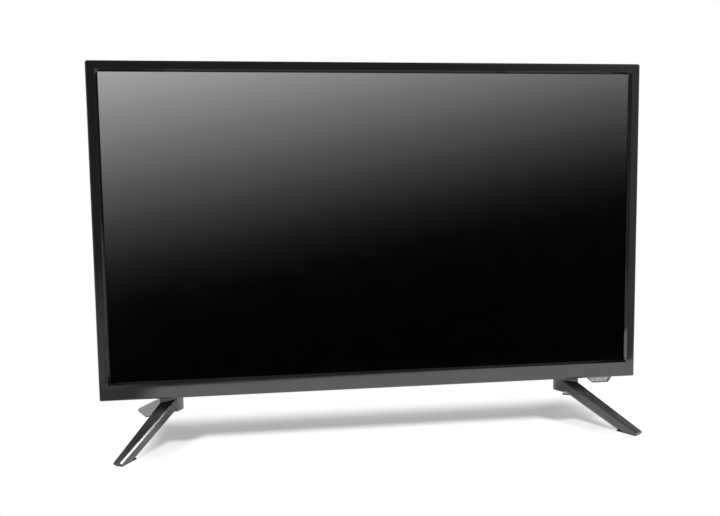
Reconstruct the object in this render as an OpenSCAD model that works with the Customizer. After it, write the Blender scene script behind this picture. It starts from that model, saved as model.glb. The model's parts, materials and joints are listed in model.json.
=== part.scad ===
// Flat screen television on two splayed legs.
// Millimetres: X to the viewer's right, Y to the rear, Z up from the surface that it stands on.
// The origin lies on that surface, midway between the four toes.

/* [Screen] */
// Width of the visible screen
screen_w = 523; // [480:1:600]
// Height of the visible screen
screen_h = 295; // [270:1:340]

/* [Front frame] */
// Width of each side bezel
bezel_side = 10.8; // [9:0.1:16]
// Height of the top bezel
bezel_top = 10.2; // [9:0.1:16]
// Height of the bottom bar
bezel_bottom = 17.5; // [16:0.5:26]
// Depth of the front frame
bezel_depth = 16; // [14:0.5:18]
// Wall of the front frame
bezel_wall = 2; // [1.6:0.1:2.4]
// Thickness of the lip over the screen's edge
lip_t = 3; // [2:0.1:4]
// Width of the lip's bevel beside the screen
lip_bevel = 2.2; // [1:0.1:3]
// Radius of the front frame's outer edge
edge_r = 2.2; // [1:0.1:3]
// Radius of the cabinet's corners
corner_r = 3; // [2:0.1:6]
// Height of the seam between frame and bar above the screen's foot
seam_rise = 1.8; // [1:0.1:4]
// Width of the seam's groove
seam_gap = 0.4; // [0.2:0.05:0.6]

/* [Screen module] */
// Thickness of the foam between lip and glass
gasket_t = 0.6; // [0.4:0.1:1.2]
// Thickness of the glass cell
glass_t = 1.4; // [1:0.1:2]
// How far the glass reaches behind the lip
glass_margin = 3.4; // [3:0.1:4]
// Wall of the middle frame
rim_t = 1.6; // [1.2:0.1:1.8]
// Thickness of the middle frame's ledge
ledge_t = 1; // [0.8:0.1:2]
// Length of the middle frame's skirt
skirt_d = 10; // [6:0.5:14]
// Thickness of an optical sheet
sheet_t = 0.3; // [0.2:0.05:0.5]
// Thickness of the diffuser plate
diffuser_t = 1.5; // [1:0.1:2]
// Depth of the backlight's hollow
cavity_d = 16; // [14:0.5:18]
// Thickness of the steel pan
pan_t = 0.8; // [0.6:0.1:1]
// Fitting clearance
fit_gap = 0.3; // [0.2:0.05:0.4]

/* [Backlight] */
// Number of LED strips
strip_count = 3; // [2:1:4]
// LEDs on each strip
led_count = 7; // [5:1:8]
// Height of a strip
strip_h = 14; // [10:1:18]
// Thickness of a strip
strip_t = 1; // [0.8:0.1:1.6]
// Radius of an LED lens
lens_r = 7; // [5:0.1:8]
// Height of an LED lens
lens_h = 5; // [3:0.1:6]
// Thickness of the reflector
reflector_t = 0.4; // [0.3:0.1:0.6]
// How far the reflector's sides lean in
reflector_lean = 12; // [8:1:20]

/* [Rear cover] */
// Wall of the rear cover
cover_wall = 2.2; // [1.8:0.1:2.6]
// Depth of the cover's thin part behind the screen module
thin_room = 11.8; // [11.8:0.1:16]
// How far the bulge stands out of the thin part
bulge_rise = 27; // [27:0.5:36]
// Distance from the cabinet's side to the bulge
bulge_inset = 47.3; // [44:0.1:50]
// Distance from the cabinet's top to the bulge's flat back
bulge_drop = 90; // [80:1:95]
// Height of the slope above the bulge
bulge_slope = 20; // [10:1:30]
// How far the cover's edges lean in
cover_lean = 18; // [10:0.5:20]
// Height of the lower side screws above the cabinet's foot
side_screw_rise = 40; // [25:1:60]
// Distance from the cabinet's top to the upper side screws
side_screw_drop = 62; // [40:1:70]
// Distance from the cabinet's top to the top screws
top_screw_drop = 32; // [26:1:50]
// Spacing of the top screws
top_screw_pitch = 160; // [100:1:200]
// Width of a vent slot
slot_w = 2.6; // [1.5:0.1:3]
// Spacing of the vent slots
slot_pitch = 6.5; // [5:0.1:8]
// Height of a vent slot
vent_h = 24; // [12:1:26]
// Vent slots in each bank
vent_count = 20; // [10:1:21]
// Distance from the bulge's top to the vent slots
vent_drop = 8; // [4:0.5:12]
// Speaker slots on each side
grille_count = 8; // [5:1:10]
// Height of a speaker slot
grille_h = 22; // [14:1:24]

/* [Wall mount] */
// Hole spacing of the wall mount
vesa_pitch = 100; // [75:25:100]
// Radius of the wall mount's threaded holes
vesa_hole_r = 2; // [1.6:0.1:3]
// Depth of those holes
vesa_hole_d = 14; // [8:1:20]
// Radius of the wall mount's posts
vesa_post_r = 6; // [5:0.5:7]

/* [Keys] */
// Radius of a key
key_r = 4; // [3:0.1:5]
// Spacing of the keys
key_pitch = 15; // [13:0.5:16]
// Travel of a key
key_travel = 0.6; // [0.3:0.1:0.8]
// How far a key stands proud
key_proud = 1.2; // [1:0.1:2]

/* [Boards] */
// Thickness of a circuit board
board_t = 1.6; // [1:0.1:2]
// Width of the main board
main_w = 130; // [125:1:145]
// Height of the main board
main_h = 124; // [122:1:140]
// Width of the power board
power_w = 130; // [125:1:145]
// Height of the power board
power_h = 112; // [108:1:125]
// Thickness of the inner leads
lead_t = 1.2; // [0.8:0.1:1.6]

/* [Speakers] */
// Width of a speaker box
speaker_w = 90; // [70:1:100]
// Height of a speaker box
speaker_h = 30; // [30:0.5:32]
// Depth of a speaker box
speaker_d = 25; // [18:0.5:26]
// Distance from a speaker box to the stand's bracket
speaker_clear = 15.5; // [5:0.5:25]
// Wall of a speaker box
speaker_wall = 1.8; // [1.2:0.1:2.4]
// Radius of the moving cone
cone_r = 11.2; // [9:0.1:11.5]

/* [Receiver lens] */
// Distance from the cabinet's side to the middle of the receiver lens
ir_inset = 35.3; // [30:0.1:40]
// Width of the lens at the cabinet
ir_w = 26.6; // [20:0.2:30]
// Width of the lens at its foot
ir_foot_w = 17.8; // [10:0.2:20]
// How far the lens hangs below the cabinet
ir_drop = 6.5; // [3:0.5:9]
// Depth of the lens from front to back
ir_d = 8; // [6:0.5:9]

/* [Stand] */
// Height of the cabinet above the surface
ground_gap = 44.5; // [40:0.5:60]
// Distance from the front face to the feet's centre line
stand_setback = 29; // [27:0.5:34]
// Distance from the cabinet's side to the inner edge of a leg's hub
hub_inset = 78.3; // [72:0.1:95]
// Length of a limb along the floor
limb_reach = 105; // [95:1:125]
// Angle of a limb from straight ahead
limb_splay = 28.6; // [20:0.1:32]
// Width of a limb at the hub
limb_w_hub = 17.6; // [14:0.1:18]
// Width of a limb at the toe
limb_w_toe = 9.3; // [7:0.1:10]
// Upright thickness of a limb
limb_h = 13; // [9:0.1:14]
// Height of a toe
toe_h = 4.4; // [4:0.1:8]
// How far the toe's end leans back
toe_lean = 1.5; // [0:0.1:6]
// Height of the hub's underside
hub_low = 26.5; // [24:0.5:28]
// Half length of the hub's neck
neck_half = 12; // [11:0.5:12]
// Bevel along the limb's upper edges
limb_bevel = 1.4; // [0.5:0.1:1.4]
// Bevel along the limb's lower inner edge
limb_under_bevel = 3.6; // [1:0.1:4]
// Thickness of the foot pads
pad_t = 1.2; // [0.8:0.1:2]

/* [Hidden] */
$fn = 48;

// Overshoot of a cut beyond the face that it opens
cut = 1;

// Cabinet and screen
cab_w = screen_w + 2 * bezel_side;
cab_h = bezel_bottom + screen_h + bezel_top;
z_low = ground_gap;
z_high = z_low + cab_h;
z_foot = z_low + bezel_bottom;
z_head = z_foot + screen_h;
z_mid = (z_foot + z_head) / 2;
z_seam = z_foot + seam_rise;
z_floor = z_low + cover_wall;
seam_d = bezel_wall / 2;

// Layers from the front face to the back
y_front = -stand_setback;
y_lip = y_front + lip_t;
y_glass = y_lip + gasket_t;
y_ledge = y_glass + glass_t;
y_sheets = y_ledge + ledge_t;
y_diffuser = y_sheets + 2 * sheet_t;
y_cavity = y_diffuser + diffuser_t;
y_pan = y_cavity + cavity_d;
y_back = y_pan + pan_t;
y_split = y_front + bezel_depth;
y_thin = y_back + thin_room;
y_inner = y_thin - cover_wall;
y_bulge = y_thin + bulge_rise;

// Side walls and flat top of the bulge
wall_r = cab_w / 2 - bulge_inset;
wall_l = -wall_r;
slope_wall = 1.5 * cover_wall;
z_bulge = z_high - bulge_drop;

// Screen module outlines
glass_w = screen_w + 2 * glass_margin;
glass_low = z_foot - glass_margin;
glass_high = z_head + glass_margin;
rim_out = fit_gap + rim_t;
module_w = glass_w + 2 * rim_out;
module_low = glass_low - rim_out;
module_high = glass_high + rim_out;
sheet_inset = 0.5;
ledge_inset = 1.2;

// Backlight: strips and LEDs share the screen evenly, with posts between the strips
reflector_floor = y_pan - strip_t - reflector_t;
strip_pitch = screen_h / strip_count;
led_pitch = screen_w / led_count;
strip_end = 14;
chip_w = 3;
chip_h = 0.8;
post_r = 4;
post_tip_r = 1;
STRIPS = [for (i = [0:strip_count - 1]) z_mid + (i - (strip_count - 1) / 2) * strip_pitch];
LEDS = [for (i = [0:led_count - 1]) (i - (led_count - 1) / 2) * led_pitch];
POSTS = [for (x = [-1, 1], i = [1:strip_count - 1]) [x * screen_w / 4, (STRIPS[i - 1] + STRIPS[i]) / 2]];

// Screws: a small one for boards and cover, a large one for the legs
screw_r = 1.5;
screw_head_r = 2.8;
screw_head_h = 1.3;
screw_gap = 0.05;
boss_r = 4;
key_boss_r = 3;
standoff_r = 3.2;
leg_screw_r = 2;
leg_screw_head_r = 3.8;
leg_screw_head_h = 2.6;
leg_screw_y = 6;
counterbore_d = 5;

// Wall mount, at the middle of the cabinet
vesa_z = z_low + cab_h / 2;
VESA = [for (x = [-1, 1], z = [-1, 1]) [x * vesa_pitch / 2, vesa_z + z * vesa_pitch / 2]];

// Boards stand so far back that their sockets open through the bulge's side walls
socket_gap = 0.4;
y_parts = y_thin + 2 * socket_gap;
y_board = y_parts - board_t;

// The main board is beside the left wall, the power board beside the right wall
board_edge = 5;
board_inset = 5;
main_x0 = wall_l + cover_wall + board_edge;
main_x1 = main_x0 + main_w;
main_z0 = vesa_z - main_h / 2;
main_z1 = main_z0 + main_h;
power_x1 = wall_r - cover_wall - board_edge;
power_x0 = power_x1 - power_w;
power_z0 = vesa_z - power_h / 2;
power_z1 = power_z0 + power_h;
function board_corners(x0, x1, z0, z1) =
    [for (x = [x0 + board_inset, x1 - board_inset], z = [z0 + board_inset, z1 - board_inset]) [x, z]];
BOARD_SCREWS = concat(
    board_corners(main_x0, main_x1, main_z0, main_z1),
    board_corners(power_x0, power_x1, power_z0, power_z1)
);

// Driver board at the module's foot, and the flexes that feed the glass
driver_w = 340;
driver_h = 14;
driver_t = 1.2;
driver_rise = 2;
driver_z0 = glass_low + driver_rise;
driver_z1 = driver_z0 + driver_h;
flex_count = 4;
flex_pitch = 84;
flex_w = 24;
flex_t = 0.25;
flex_drop = 1.6;
FLEXES = [for (i = [0:flex_count - 1]) (i - (flex_count - 1) / 2) * flex_pitch];

// Chips and cooling
chip_x = main_x0 + 0.6 * main_w;
chip_z = vesa_z;
soc_w = 24;
soc_t = 1.8;
memory_size = [12, 1.2, 9];
memory_pitch = 24;
memory_count = 3;
sink_w = 34;
memory_gap = 11;
memory_x = chip_x + sink_w / 2 + memory_gap;
sink_base = 2.4;
sink_fins = 7;
sink_fin_t = 1.6;
sink_fin_h = 11;

// Sockets, stacked up the main board's edge
socket_inset = 0.4;
socket_space = 2.4;
mouth_l = wall_l + socket_inset;
mouth_r = wall_r - socket_inset;
tuner_size = [40, 11, 28];
tuner_z = main_z0 + 2 * board_inset + tuner_size.z / 2;
aerial_r = 4.75;
aerial_proud = 8;
aerial_pin_r = 0.8;
hdmi_size = [13, 5.8, 15.2];
hdmi_step = hdmi_size.z + socket_space;
hdmi_low = tuner_z + tuner_size.z / 2 + socket_space + hdmi_size.z / 2;
HDMI = [hdmi_low, hdmi_low + hdmi_step];
hdmi_skin = 0.6;
hdmi_tongue = [11, 1.2];
usb_size = [14, 7, 14.4];
usb_z = HDMI[1] + hdmi_size.z / 2 + socket_space + usb_size.z / 2;
usb_skin = 0.8;
usb_tongue = [10.5, 1.8];
tongue_inset = 2;
jack_size = [12, 8, 9];
jack_low = usb_z + usb_size.z / 2 + socket_space + jack_size.z / 2;
JACKS = [jack_low, jack_low + jack_size.z + socket_space];
jack_nose_r = 3.6;
jack_bore_r = 1.8;
jack_floor = 2;

// Mains inlet and what is near it on the power board
inlet_size = [18, 12, 22];
inlet_z = power_z0 + 2 * board_inset + inlet_size.z / 2;
inlet_r = 4.1;
inlet_pitch = 8.6;
inlet_d = 12;
inlet_pin_r = 1.2;
inlet_pin_inset = 2;
choke_size = [18, 17, 22];
choke_hole = [6, 10];
choke_gap = 9.8;
choke_x = mouth_r - inlet_size.x - choke_gap - choke_size.x / 2;
core_size = [30, 20, 22];
bobbin_size = [36, 12, 12];
core_rise = 6;
core_x = power_x0 + 0.4 * power_w;
core_z = vesa_z + core_rise;
fin_drop = 10;
fin_x = power_x0 + 0.6 * power_w;
fin_z = vesa_z - fin_drop;
fin_size = [3, 19, 44];
tab_size = [8, 2, 12];
tab_pitch = 16;
tab_count = 3;

// Capacitors: x and z from a board's lower left corner, radius and height
MAIN_CAPS = [[60, 20, 4, 10], [72, 20, 4, 10], [100, 34, 5, 12], [112, 24, 5, 12], [62, 112, 3, 7]];
POWER_CAPS = [[96, 84, 9, 20], [20, 36, 5, 16], [20, 50, 5, 16], [20, 64, 5, 16], [34, 36, 4, 12]];

// Leads: their lanes on the pan's back and their plugs on the boards
lead_w = 4;
power_lead_w = 10;
ribbon_w = 24;
ribbon_x = chip_x + lead_w;
plug_h = 6;
plug_w = 6;
plug_over = 2;
plug_inset = 7;
lead_clear = 2;
y_lane = y_back + lead_t / 2;
y_plug = y_parts + plug_h - lead_t;
lead_pitch = 10;
lane_spread = 24;
lane_signal = main_z0 - plug_w;
lane_audio = lane_signal - lead_w - lead_clear;
lane_keys = vesa_z + lead_pitch;
lane_power = vesa_z - lane_spread;
lane_backlight = vesa_z + lane_spread;
backlight_lead_l = 12;
signal_lead_x = main_x1 - 2 * plug_inset;
audio_lead_x = signal_lead_x - lead_pitch;
speaker_lead_y = 8;

// Keys, in order from the top, midway between the bulge and the cover's edge
KEYS = ["power", "source", "menu", "channel_up", "channel_down", "volume_up", "volume_down"];
key_x = (wall_r + cab_w / 2 - cover_lean) / 2;
key_gap = 0.3;
key_flange = 1.4;
key_flange_t = 1;
key_stem_r = 1.8;
key_stem_l = 0.5;
key_board_w = 16;
key_board_t = 1.2;
key_board_ends = 15;
key_screw_inset = 5;
key_screw_l = 4;
switch_w = 6;
switch_h = 3.5;
plunger_r = 1.7;
plunger_h = 0.7;
y_flange = y_inner - key_gap - key_flange_t;
y_stem = y_flange - key_stem_l;
y_plunger = y_stem - key_travel - screw_gap;
y_switch = y_plunger - plunger_h - switch_h;
y_key_board = y_switch - key_board_t;
key_board_half = (len(KEYS) - 1) / 2 * key_pitch + key_board_ends;
KEY_BOARD_SCREWS = [for (s = [-1, 1]) [key_x, z_mid + s * (key_board_half - key_screw_inset)]];
function key_z(i) = z_mid + ((len(KEYS) - 1) / 2 - i) * key_pitch;

// Rear cover screws: two at each side, in line with the keys, and three along the top
COVER_SCREWS = concat(
    [for (s = [-1, 1], z = [z_low + side_screw_rise, z_high - side_screw_drop]) [s * key_x, z]],
    [for (i = [-1:1]) [i * top_screw_pitch, z_high - top_screw_drop]]
);

// Legs
hub_x = cab_w / 2 - hub_inset;
limb_slope = (z_low - toe_h) / limb_reach;
limb_pitch = atan(limb_slope);
limb_back = 20;
knee_s = (z_low - limb_h - hub_low) / limb_slope;
heel_s = (z_low - limb_h - pad_t) / limb_slope;
hub_flat = 1.5;
neck_inset = 1;
pad_inset = 1.2;
leg_screw_x = hub_x + leg_screw_y * tan(limb_splay) + limb_w_hub / cos(limb_splay) / 2;
bracket_t = 2.5;
bracket_w = 20;
bracket_h = 36;

// Speakers, on the cover's floor beside the stand's brackets
speaker_gap = 6;
speaker_x = leg_screw_x - bracket_w / 2 - speaker_clear - speaker_w / 2;
speaker_z = z_floor + speaker_h / 2;
speaker_top = z_floor + speaker_h;
y_speaker = y_back + speaker_gap;
y_baffle = y_speaker + speaker_d;
basket_gap = 0.4;
basket_t = 0.7;
basket_d = 7;
basket_r = cone_r + basket_gap + basket_t;
flange_t = 1.2;
flange_w = 2.2;
magnet_r = 10;
magnet_t = 5;
coil_r = 4;
cone_skin = 0.6;
cone_rim = 1;
cone_sink = 3;

// Receiver, in front of the frame's rear edge
ir_x = cab_w / 2 - ir_inset;
ir_back = 3;
ir_y1 = y_split - ir_back;
ir_y0 = ir_y1 - ir_d;
ir_flange_w = 1.5;
ir_flange_t = 1.2;
ir_sensor = [6, 5];
ir_board_w = 38;
ir_board_t = 1;
ir_board_rise = 3.6;
ir_board_z = z_low + bezel_wall + ir_board_rise;
ir_post_r = 1.2;
ir_lead_offset = 9;
ir_lead_x = ir_x - ir_lead_offset;

// Shared shapes

// Block between two opposite corners
module block(a, b) {
    translate(a) cube(b - a);
}

// Rod along Y at x and z
module rod_y(x, z, y0, y1, r) {
    translate([x, y0, z]) rotate([-90, 0, 0]) cylinder(h = y1 - y0, r = r);
}

// Rod along X at y and z
module rod_x(y, z, x0, x1, r) {
    translate([x0, y, z]) rotate([0, 90, 0]) cylinder(h = x1 - x0, r = r);
}

// Outline with round corners, centred
module round_outline(w, h, r) {
    square([w - 2 * r, h], center = true);
    square([w, h - 2 * r], center = true);
    for (x = [-1, 1], y = [-1, 1])
        translate([x * (w / 2 - r), y * (h / 2 - r)]) circle(r);
}

// Upright plate with round corners
module round_plate(w, z0, z1, y0, y1, r) {
    translate([0, y1, (z0 + z1) / 2])
        rotate([90, 0, 0])
            linear_extrude(y1 - y0) round_outline(w, z1 - z0, r);
}

// Block whose outline changes evenly from front to back
module tapered_block(y0, y1, half0, half1, low0, low1, high0, high1) {
    half = max(half0, half1);
    low = min(low0, low1);
    high = max(high0, high1);
    intersection() {
        translate([0, 0, low])
            linear_extrude(high - low)
                polygon([[-half0, y0], [half0, y0], [half1, y1], [-half1, y1]]);
        translate([-half, 0, 0])
            rotate([90, 0, 90])
                linear_extrude(2 * half)
                    polygon([[y0, low0], [y1, low1], [y1, high1], [y0, high0]]);
    }
}

// Outline of a slab seen from the side, with both front corners rounded
module round_front_outline(depth, h, r) {
    translate([r, -h / 2]) square([depth - r, h]);
    translate([0, r - h / 2]) square([r, h - 2 * r]);
    for (s = [-1, 1])
        translate([r, s * (h / 2 - r)]) circle(r);
}

// Slab with rounded corners and a rounded front edge
module round_front_slab(w, z0, z1, y0, y1, r_corner, r_edge) {
    intersection() {
        round_plate(w, z0, z1, y0, y1, r_corner);
        translate([0, y0, z0])
            rotate([0, 0, 90])
                linear_extrude(z1 - z0) round_front_outline(y1 - y0, w, r_edge);
        translate([-w / 2, y0, (z0 + z1) / 2])
            rotate([90, 0, 90])
                linear_extrude(w) round_front_outline(y1 - y0, z1 - z0, r_edge);
    }
}

// Flat lead folded in the plane of X and Y, at height z
module folded_lead_x(path, z, w) {
    half = [lead_t / 2, lead_t / 2, w / 2];
    for (i = [1:len(path) - 1]) {
        a = path[i - 1];
        b = path[i];
        block([min(a.x, b.x), min(a.y, b.y), z] - half, [max(a.x, b.x), max(a.y, b.y), z] + half);
    }
}

// Flat lead folded in the plane of Z and Y, at place x; each point is z, y
module folded_lead_z(path, x, w) {
    half = [w / 2, lead_t / 2, lead_t / 2];
    for (i = [1:len(path) - 1]) {
        a = path[i - 1];
        b = path[i];
        block([x, min(a.y, b.y), min(a.x, b.x)] - half, [x, max(a.y, b.y), max(a.x, b.x)] + half);
    }
}

// Lead plug standing on a board
module plug(x, z, w, h) {
    block([x - w / 2, y_parts, z - h / 2], [x + w / 2, y_parts + plug_h, z + h / 2]);
}

// Small screw along Y, head at y_seat and tip at y_tip
module small_screw(x, z, y_seat, y_tip) {
    head = y_seat > y_tip ? screw_head_h : -screw_head_h;
    rod_y(x, z, min(y_seat, y_tip), max(y_seat, y_tip), screw_r);
    rod_y(x, z, min(y_seat, y_seat + head), max(y_seat, y_seat + head), screw_head_r);
}

// Front frame

module bezel_ring() {
    half = screen_w / 2;
    flare = lip_bevel / lip_t;
    ahead = lip_bevel + flare * cut;
    behind = -flare * cut;
    difference() {
        round_front_slab(cab_w, z_low, z_high, y_front, y_split, corner_r, edge_r);
        tapered_block(y_front - cut, y_lip + cut, half + ahead, half + behind,
            z_foot - ahead, z_foot - behind, z_head + ahead, z_head + behind);
        block([bezel_wall - cab_w / 2, y_lip, z_low + bezel_wall],
            [cab_w / 2 - bezel_wall, y_split + cut, z_high - bezel_wall]);
    }
}

module bezel_frame() {
    color("#17181a")
        intersection() {
            bezel_ring();
            block([-cab_w, y_front - cut, z_seam], [cab_w, y_split + cut, z_high + cut]);
        }
}

module bezel_bottom_bar() {
    color("#1b1c1e") {
        difference() {
            intersection() {
                bezel_ring();
                block([-cab_w, y_front - cut, z_low - cut], [cab_w, y_split + cut, z_seam]);
            }
            difference() {
                block([-cab_w, y_front - cut, z_seam - seam_gap], [cab_w, y_split + cut, z_seam + cut]);
                block([seam_d - cab_w / 2, y_front + seam_d, z_low],
                    [cab_w / 2 - seam_d, y_split + 2 * cut, z_high]);
            }
            block([ir_x - ir_w / 2 - fit_gap, ir_y0 - fit_gap, z_low - cut],
                [ir_x + ir_w / 2 + fit_gap, ir_y1 + fit_gap, z_low + bezel_wall + cut]);
        }
        for (s = [-1, 1])
            translate([ir_x + s * (ir_board_w / 2 - 2 * ir_post_r), (ir_y0 + ir_y1) / 2, z_low + bezel_wall])
                cylinder(h = ir_board_rise, r = ir_post_r);
    }
}

// Screen module

module panel_gasket() {
    half = screen_w / 2 + sheet_inset;
    color("#0c0c0c")
        difference() {
            block([-glass_w / 2, y_lip, glass_low], [glass_w / 2, y_glass, glass_high]);
            block([-half, y_lip - cut, z_foot - sheet_inset], [half, y_glass + cut, z_head + sheet_inset]);
        }
}

module lcd_panel() {
    color("#08090b")
        block([-glass_w / 2, y_glass, glass_low], [glass_w / 2, y_ledge, glass_high]);
}

module middle_frame() {
    ledge = screen_w / 2 + ledge_inset;
    pocket = glass_w / 2 + fit_gap;
    color("#202123")
        difference() {
            block([-module_w / 2, y_glass, module_low], [module_w / 2, y_sheets + skirt_d, module_high]);
            block([-pocket, y_glass - cut, glass_low - fit_gap], [pocket, y_ledge, glass_high + fit_gap]);
            block([-ledge, y_ledge - cut, z_foot - ledge_inset],
                [ledge, y_sheets + cut, z_head + ledge_inset]);
            block([-pocket, y_sheets, glass_low - fit_gap],
                [pocket, y_sheets + skirt_d + cut, glass_high + fit_gap]);
            for (x = FLEXES)
                block([x - flex_w / 2 - fit_gap, y_glass - cut, module_low - cut],
                    [x + flex_w / 2 + fit_gap, y_ledge, glass_low]);
        }
}

// Sheet that fills the middle frame behind its ledge
module full_sheet(y0, y1) {
    half = glass_w / 2 - sheet_inset;
    block([-half, y0, glass_low + sheet_inset], [half, y1, glass_high - sheet_inset]);
}

module prism_sheet() {
    color("#dfe6ea") full_sheet(y_sheets, y_sheets + sheet_t);
}

module diffuser_sheet() {
    color("#eef0f0") full_sheet(y_sheets + sheet_t, y_diffuser);
}

module diffuser_plate() {
    color("#f4f4f1") full_sheet(y_diffuser, y_cavity);
}

module reflector_sheet() {
    half = glass_w / 2 - pan_t - fit_gap;
    low = glass_low + pan_t + fit_gap;
    high = glass_high - pan_t - fit_gap;
    lean = reflector_lean / (reflector_floor - y_cavity);
    over = lean * cut;
    color("#fbfbfa")
        difference() {
            tapered_block(y_cavity, reflector_floor + reflector_t, half, half - reflector_lean,
                low, low + reflector_lean, high, high - reflector_lean);
            tapered_block(y_cavity - cut, reflector_floor, half + over - reflector_t,
                half - reflector_lean - reflector_t, low - over + reflector_t,
                low + reflector_lean + reflector_t, high + over - reflector_t,
                high - reflector_lean - reflector_t);
            for (x = LEDS, z = STRIPS)
                rod_y(x, z, reflector_floor - cut, y_pan, lens_r + fit_gap);
        }
}

module diffuser_posts() {
    color("#f0f0ee")
        for (p = POSTS)
            translate([p.x, reflector_floor, p.y])
                rotate([90, 0, 0])
                    cylinder(h = reflector_floor - y_cavity - fit_gap, r1 = post_r, r2 = post_tip_r);
}

module led_strips() {
    end = LEDS[led_count - 1] + strip_end;
    color("#e9ebe6")
        for (z = STRIPS) {
            block([-end, y_pan - strip_t, z - strip_h / 2], [end, y_pan, z + strip_h / 2]);
            for (x = LEDS)
                block([x - chip_w / 2, y_pan - strip_t - chip_h, z - chip_w / 2],
                    [x + chip_w / 2, y_pan - strip_t, z + chip_w / 2]);
        }
}

// Lens with a ball-shaped crown over a low drum, hollow above its chip
module led_lens() {
    drum = lens_h / 2;
    crown = lens_h - drum;
    ball = (lens_r * lens_r + crown * crown) / (2 * crown);
    difference() {
        union() {
            cylinder(h = drum, r = lens_r);
            intersection() {
                translate([0, 0, drum + crown - ball]) sphere(ball);
                translate([0, 0, drum]) cylinder(h = crown + cut, r = lens_r + cut);
            }
        }
        translate([0, 0, -cut]) cylinder(h = chip_h + fit_gap + cut, r = chip_w);
    }
}

module led_lenses() {
    color("#f5f7f7")
        for (x = LEDS, z = STRIPS)
            translate([x, y_pan - strip_t, z]) rotate([90, 0, 0]) led_lens();
}

module backlight_pan() {
    color("#b9bcbe")
        difference() {
            block([-glass_w / 2, y_cavity, glass_low], [glass_w / 2, y_back, glass_high]);
            block([pan_t - glass_w / 2, y_cavity - cut, glass_low + pan_t],
                [glass_w / 2 - pan_t, y_pan, glass_high - pan_t]);
            for (p = COVER_SCREWS)
                rod_y(p.x, p.y, y_pan - cut, y_back + cut, screw_r + screw_gap);
        }
}

module driver_board() {
    color("#1f5a3a")
        block([-driver_w / 2, y_back, driver_z0], [driver_w / 2, y_back + driver_t, driver_z1]);
}

// Flexes from the glass's foot, under the module, to the driver board
module driver_flexes() {
    y0 = y_glass + glass_t / 2;
    y1 = y_back + driver_t;
    z0 = module_low - flex_drop;
    color("#b07a2a")
        for (x = FLEXES) {
            left = x - flex_w / 2;
            right = x + flex_w / 2;
            block([left, y0, z0], [right, y0 + flex_t, glass_low]);
            block([left, y0, z0], [right, y1 + flex_t, z0 + flex_t]);
            block([left, y1, z0], [right, y1 + flex_t, driver_z0 + driver_h / 3]);
        }
}

module lvds_ribbon() {
    half = ribbon_w / 2 + plug_over;
    y_pin = y_back + driver_t + lead_t;
    z_pin = driver_z1 - plug_w;
    color("#d8d4c8") {
        folded_lead_z([
            [main_z0 + plug_inset, y_plug], [main_z0 - lead_clear, y_plug], [main_z0 - lead_clear, y_lane],
            [driver_z1 + lead_clear, y_lane], [driver_z1 + lead_clear, y_pin], [z_pin, y_pin]
        ], ribbon_x, ribbon_w);
        plug(ribbon_x, main_z0 + plug_inset, 2 * half, plug_w);
        block([ribbon_x - half, y_back + driver_t, z_pin],
            [ribbon_x + half, y_pin + lead_t / 2, z_pin + plug_w / 2]);
    }
}

// Boards and what stands on them

module drilled_board(x0, x1, z0, z1) {
    difference() {
        block([x0, y_board, z0], [x1, y_parts, z1]);
        for (p = board_corners(x0, x1, z0, z1))
            rod_y(p.x, p.y, y_board - cut, y_parts + cut, screw_r + fit_gap);
    }
}

module main_board() {
    color("#1d4f7a") drilled_board(main_x0, main_x1, main_z0, main_z1);
}

module power_board() {
    color("#8a6f3a") drilled_board(power_x0, power_x1, power_z0, power_z1);
}

// Main processor, with memory, flash and sound chips beside it
module board_chips() {
    color("#18191b") {
        block([chip_x - soc_w / 2, y_parts, chip_z - soc_w / 2],
            [chip_x + soc_w / 2, y_parts + soc_t, chip_z + soc_w / 2]);
        for (i = [0:memory_count - 1])
            translate([memory_x, y_parts, chip_z + (i - (memory_count - 1) / 2) * memory_pitch])
                cube(memory_size);
    }
}

// Finned cooler on the main processor
module heat_sink() {
    step = (sink_w - sink_fin_t) / (sink_fins - 1);
    color("#aeb2b6")
        translate([chip_x - sink_w / 2, y_parts + soc_t, chip_z - sink_w / 2]) {
            cube([sink_w, sink_base, sink_w]);
            for (i = [0:sink_fins - 1])
                translate([i * step, 0, 0]) cube([sink_fin_t, sink_base + sink_fin_h, sink_w]);
        }
}

// Aerial can with its threaded barrel through the wall
module tuner() {
    x0 = main_x0 + cut;
    y = y_parts + tuner_size.y / 2;
    end = wall_l - aerial_proud;
    color("#c3c6c8")
        difference() {
            union() {
                block([x0, y_parts, tuner_z - tuner_size.z / 2],
                    [x0 + tuner_size.x, y_parts + tuner_size.y, tuner_z + tuner_size.z / 2]);
                rod_x(y, tuner_z, end, x0 + cut, aerial_r);
            }
            rod_x(y, tuner_z, end - cut, wall_l, aerial_pin_r);
        }
}

// Sheet metal socket with its mouth towards -X and a contact tongue, width and thickness, inside
module metal_socket(size, z, skin, tongue) {
    y_mid = y_parts + size.y / 2;
    half = size.z / 2;
    end = mouth_l + size.x;
    difference() {
        block([mouth_l, y_parts, z - half], [end, y_parts + size.y, z + half]);
        block([mouth_l - cut, y_parts + skin, z - half + skin],
            [end - 2 * skin, y_parts + size.y - skin, z + half - skin]);
    }
    block([mouth_l + tongue_inset, y_mid - tongue[1] / 2, z - tongue[0] / 2],
        [end - skin, y_mid + tongue[1] / 2, z + tongue[0] / 2]);
}

module hdmi_sockets() {
    color("#c9ccce")
        for (z = HDMI)
            metal_socket(hdmi_size, z, hdmi_skin, hdmi_tongue);
}

module usb_socket() {
    color("#c9ccce") metal_socket(usb_size, usb_z, usb_skin, usb_tongue);
}

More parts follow.
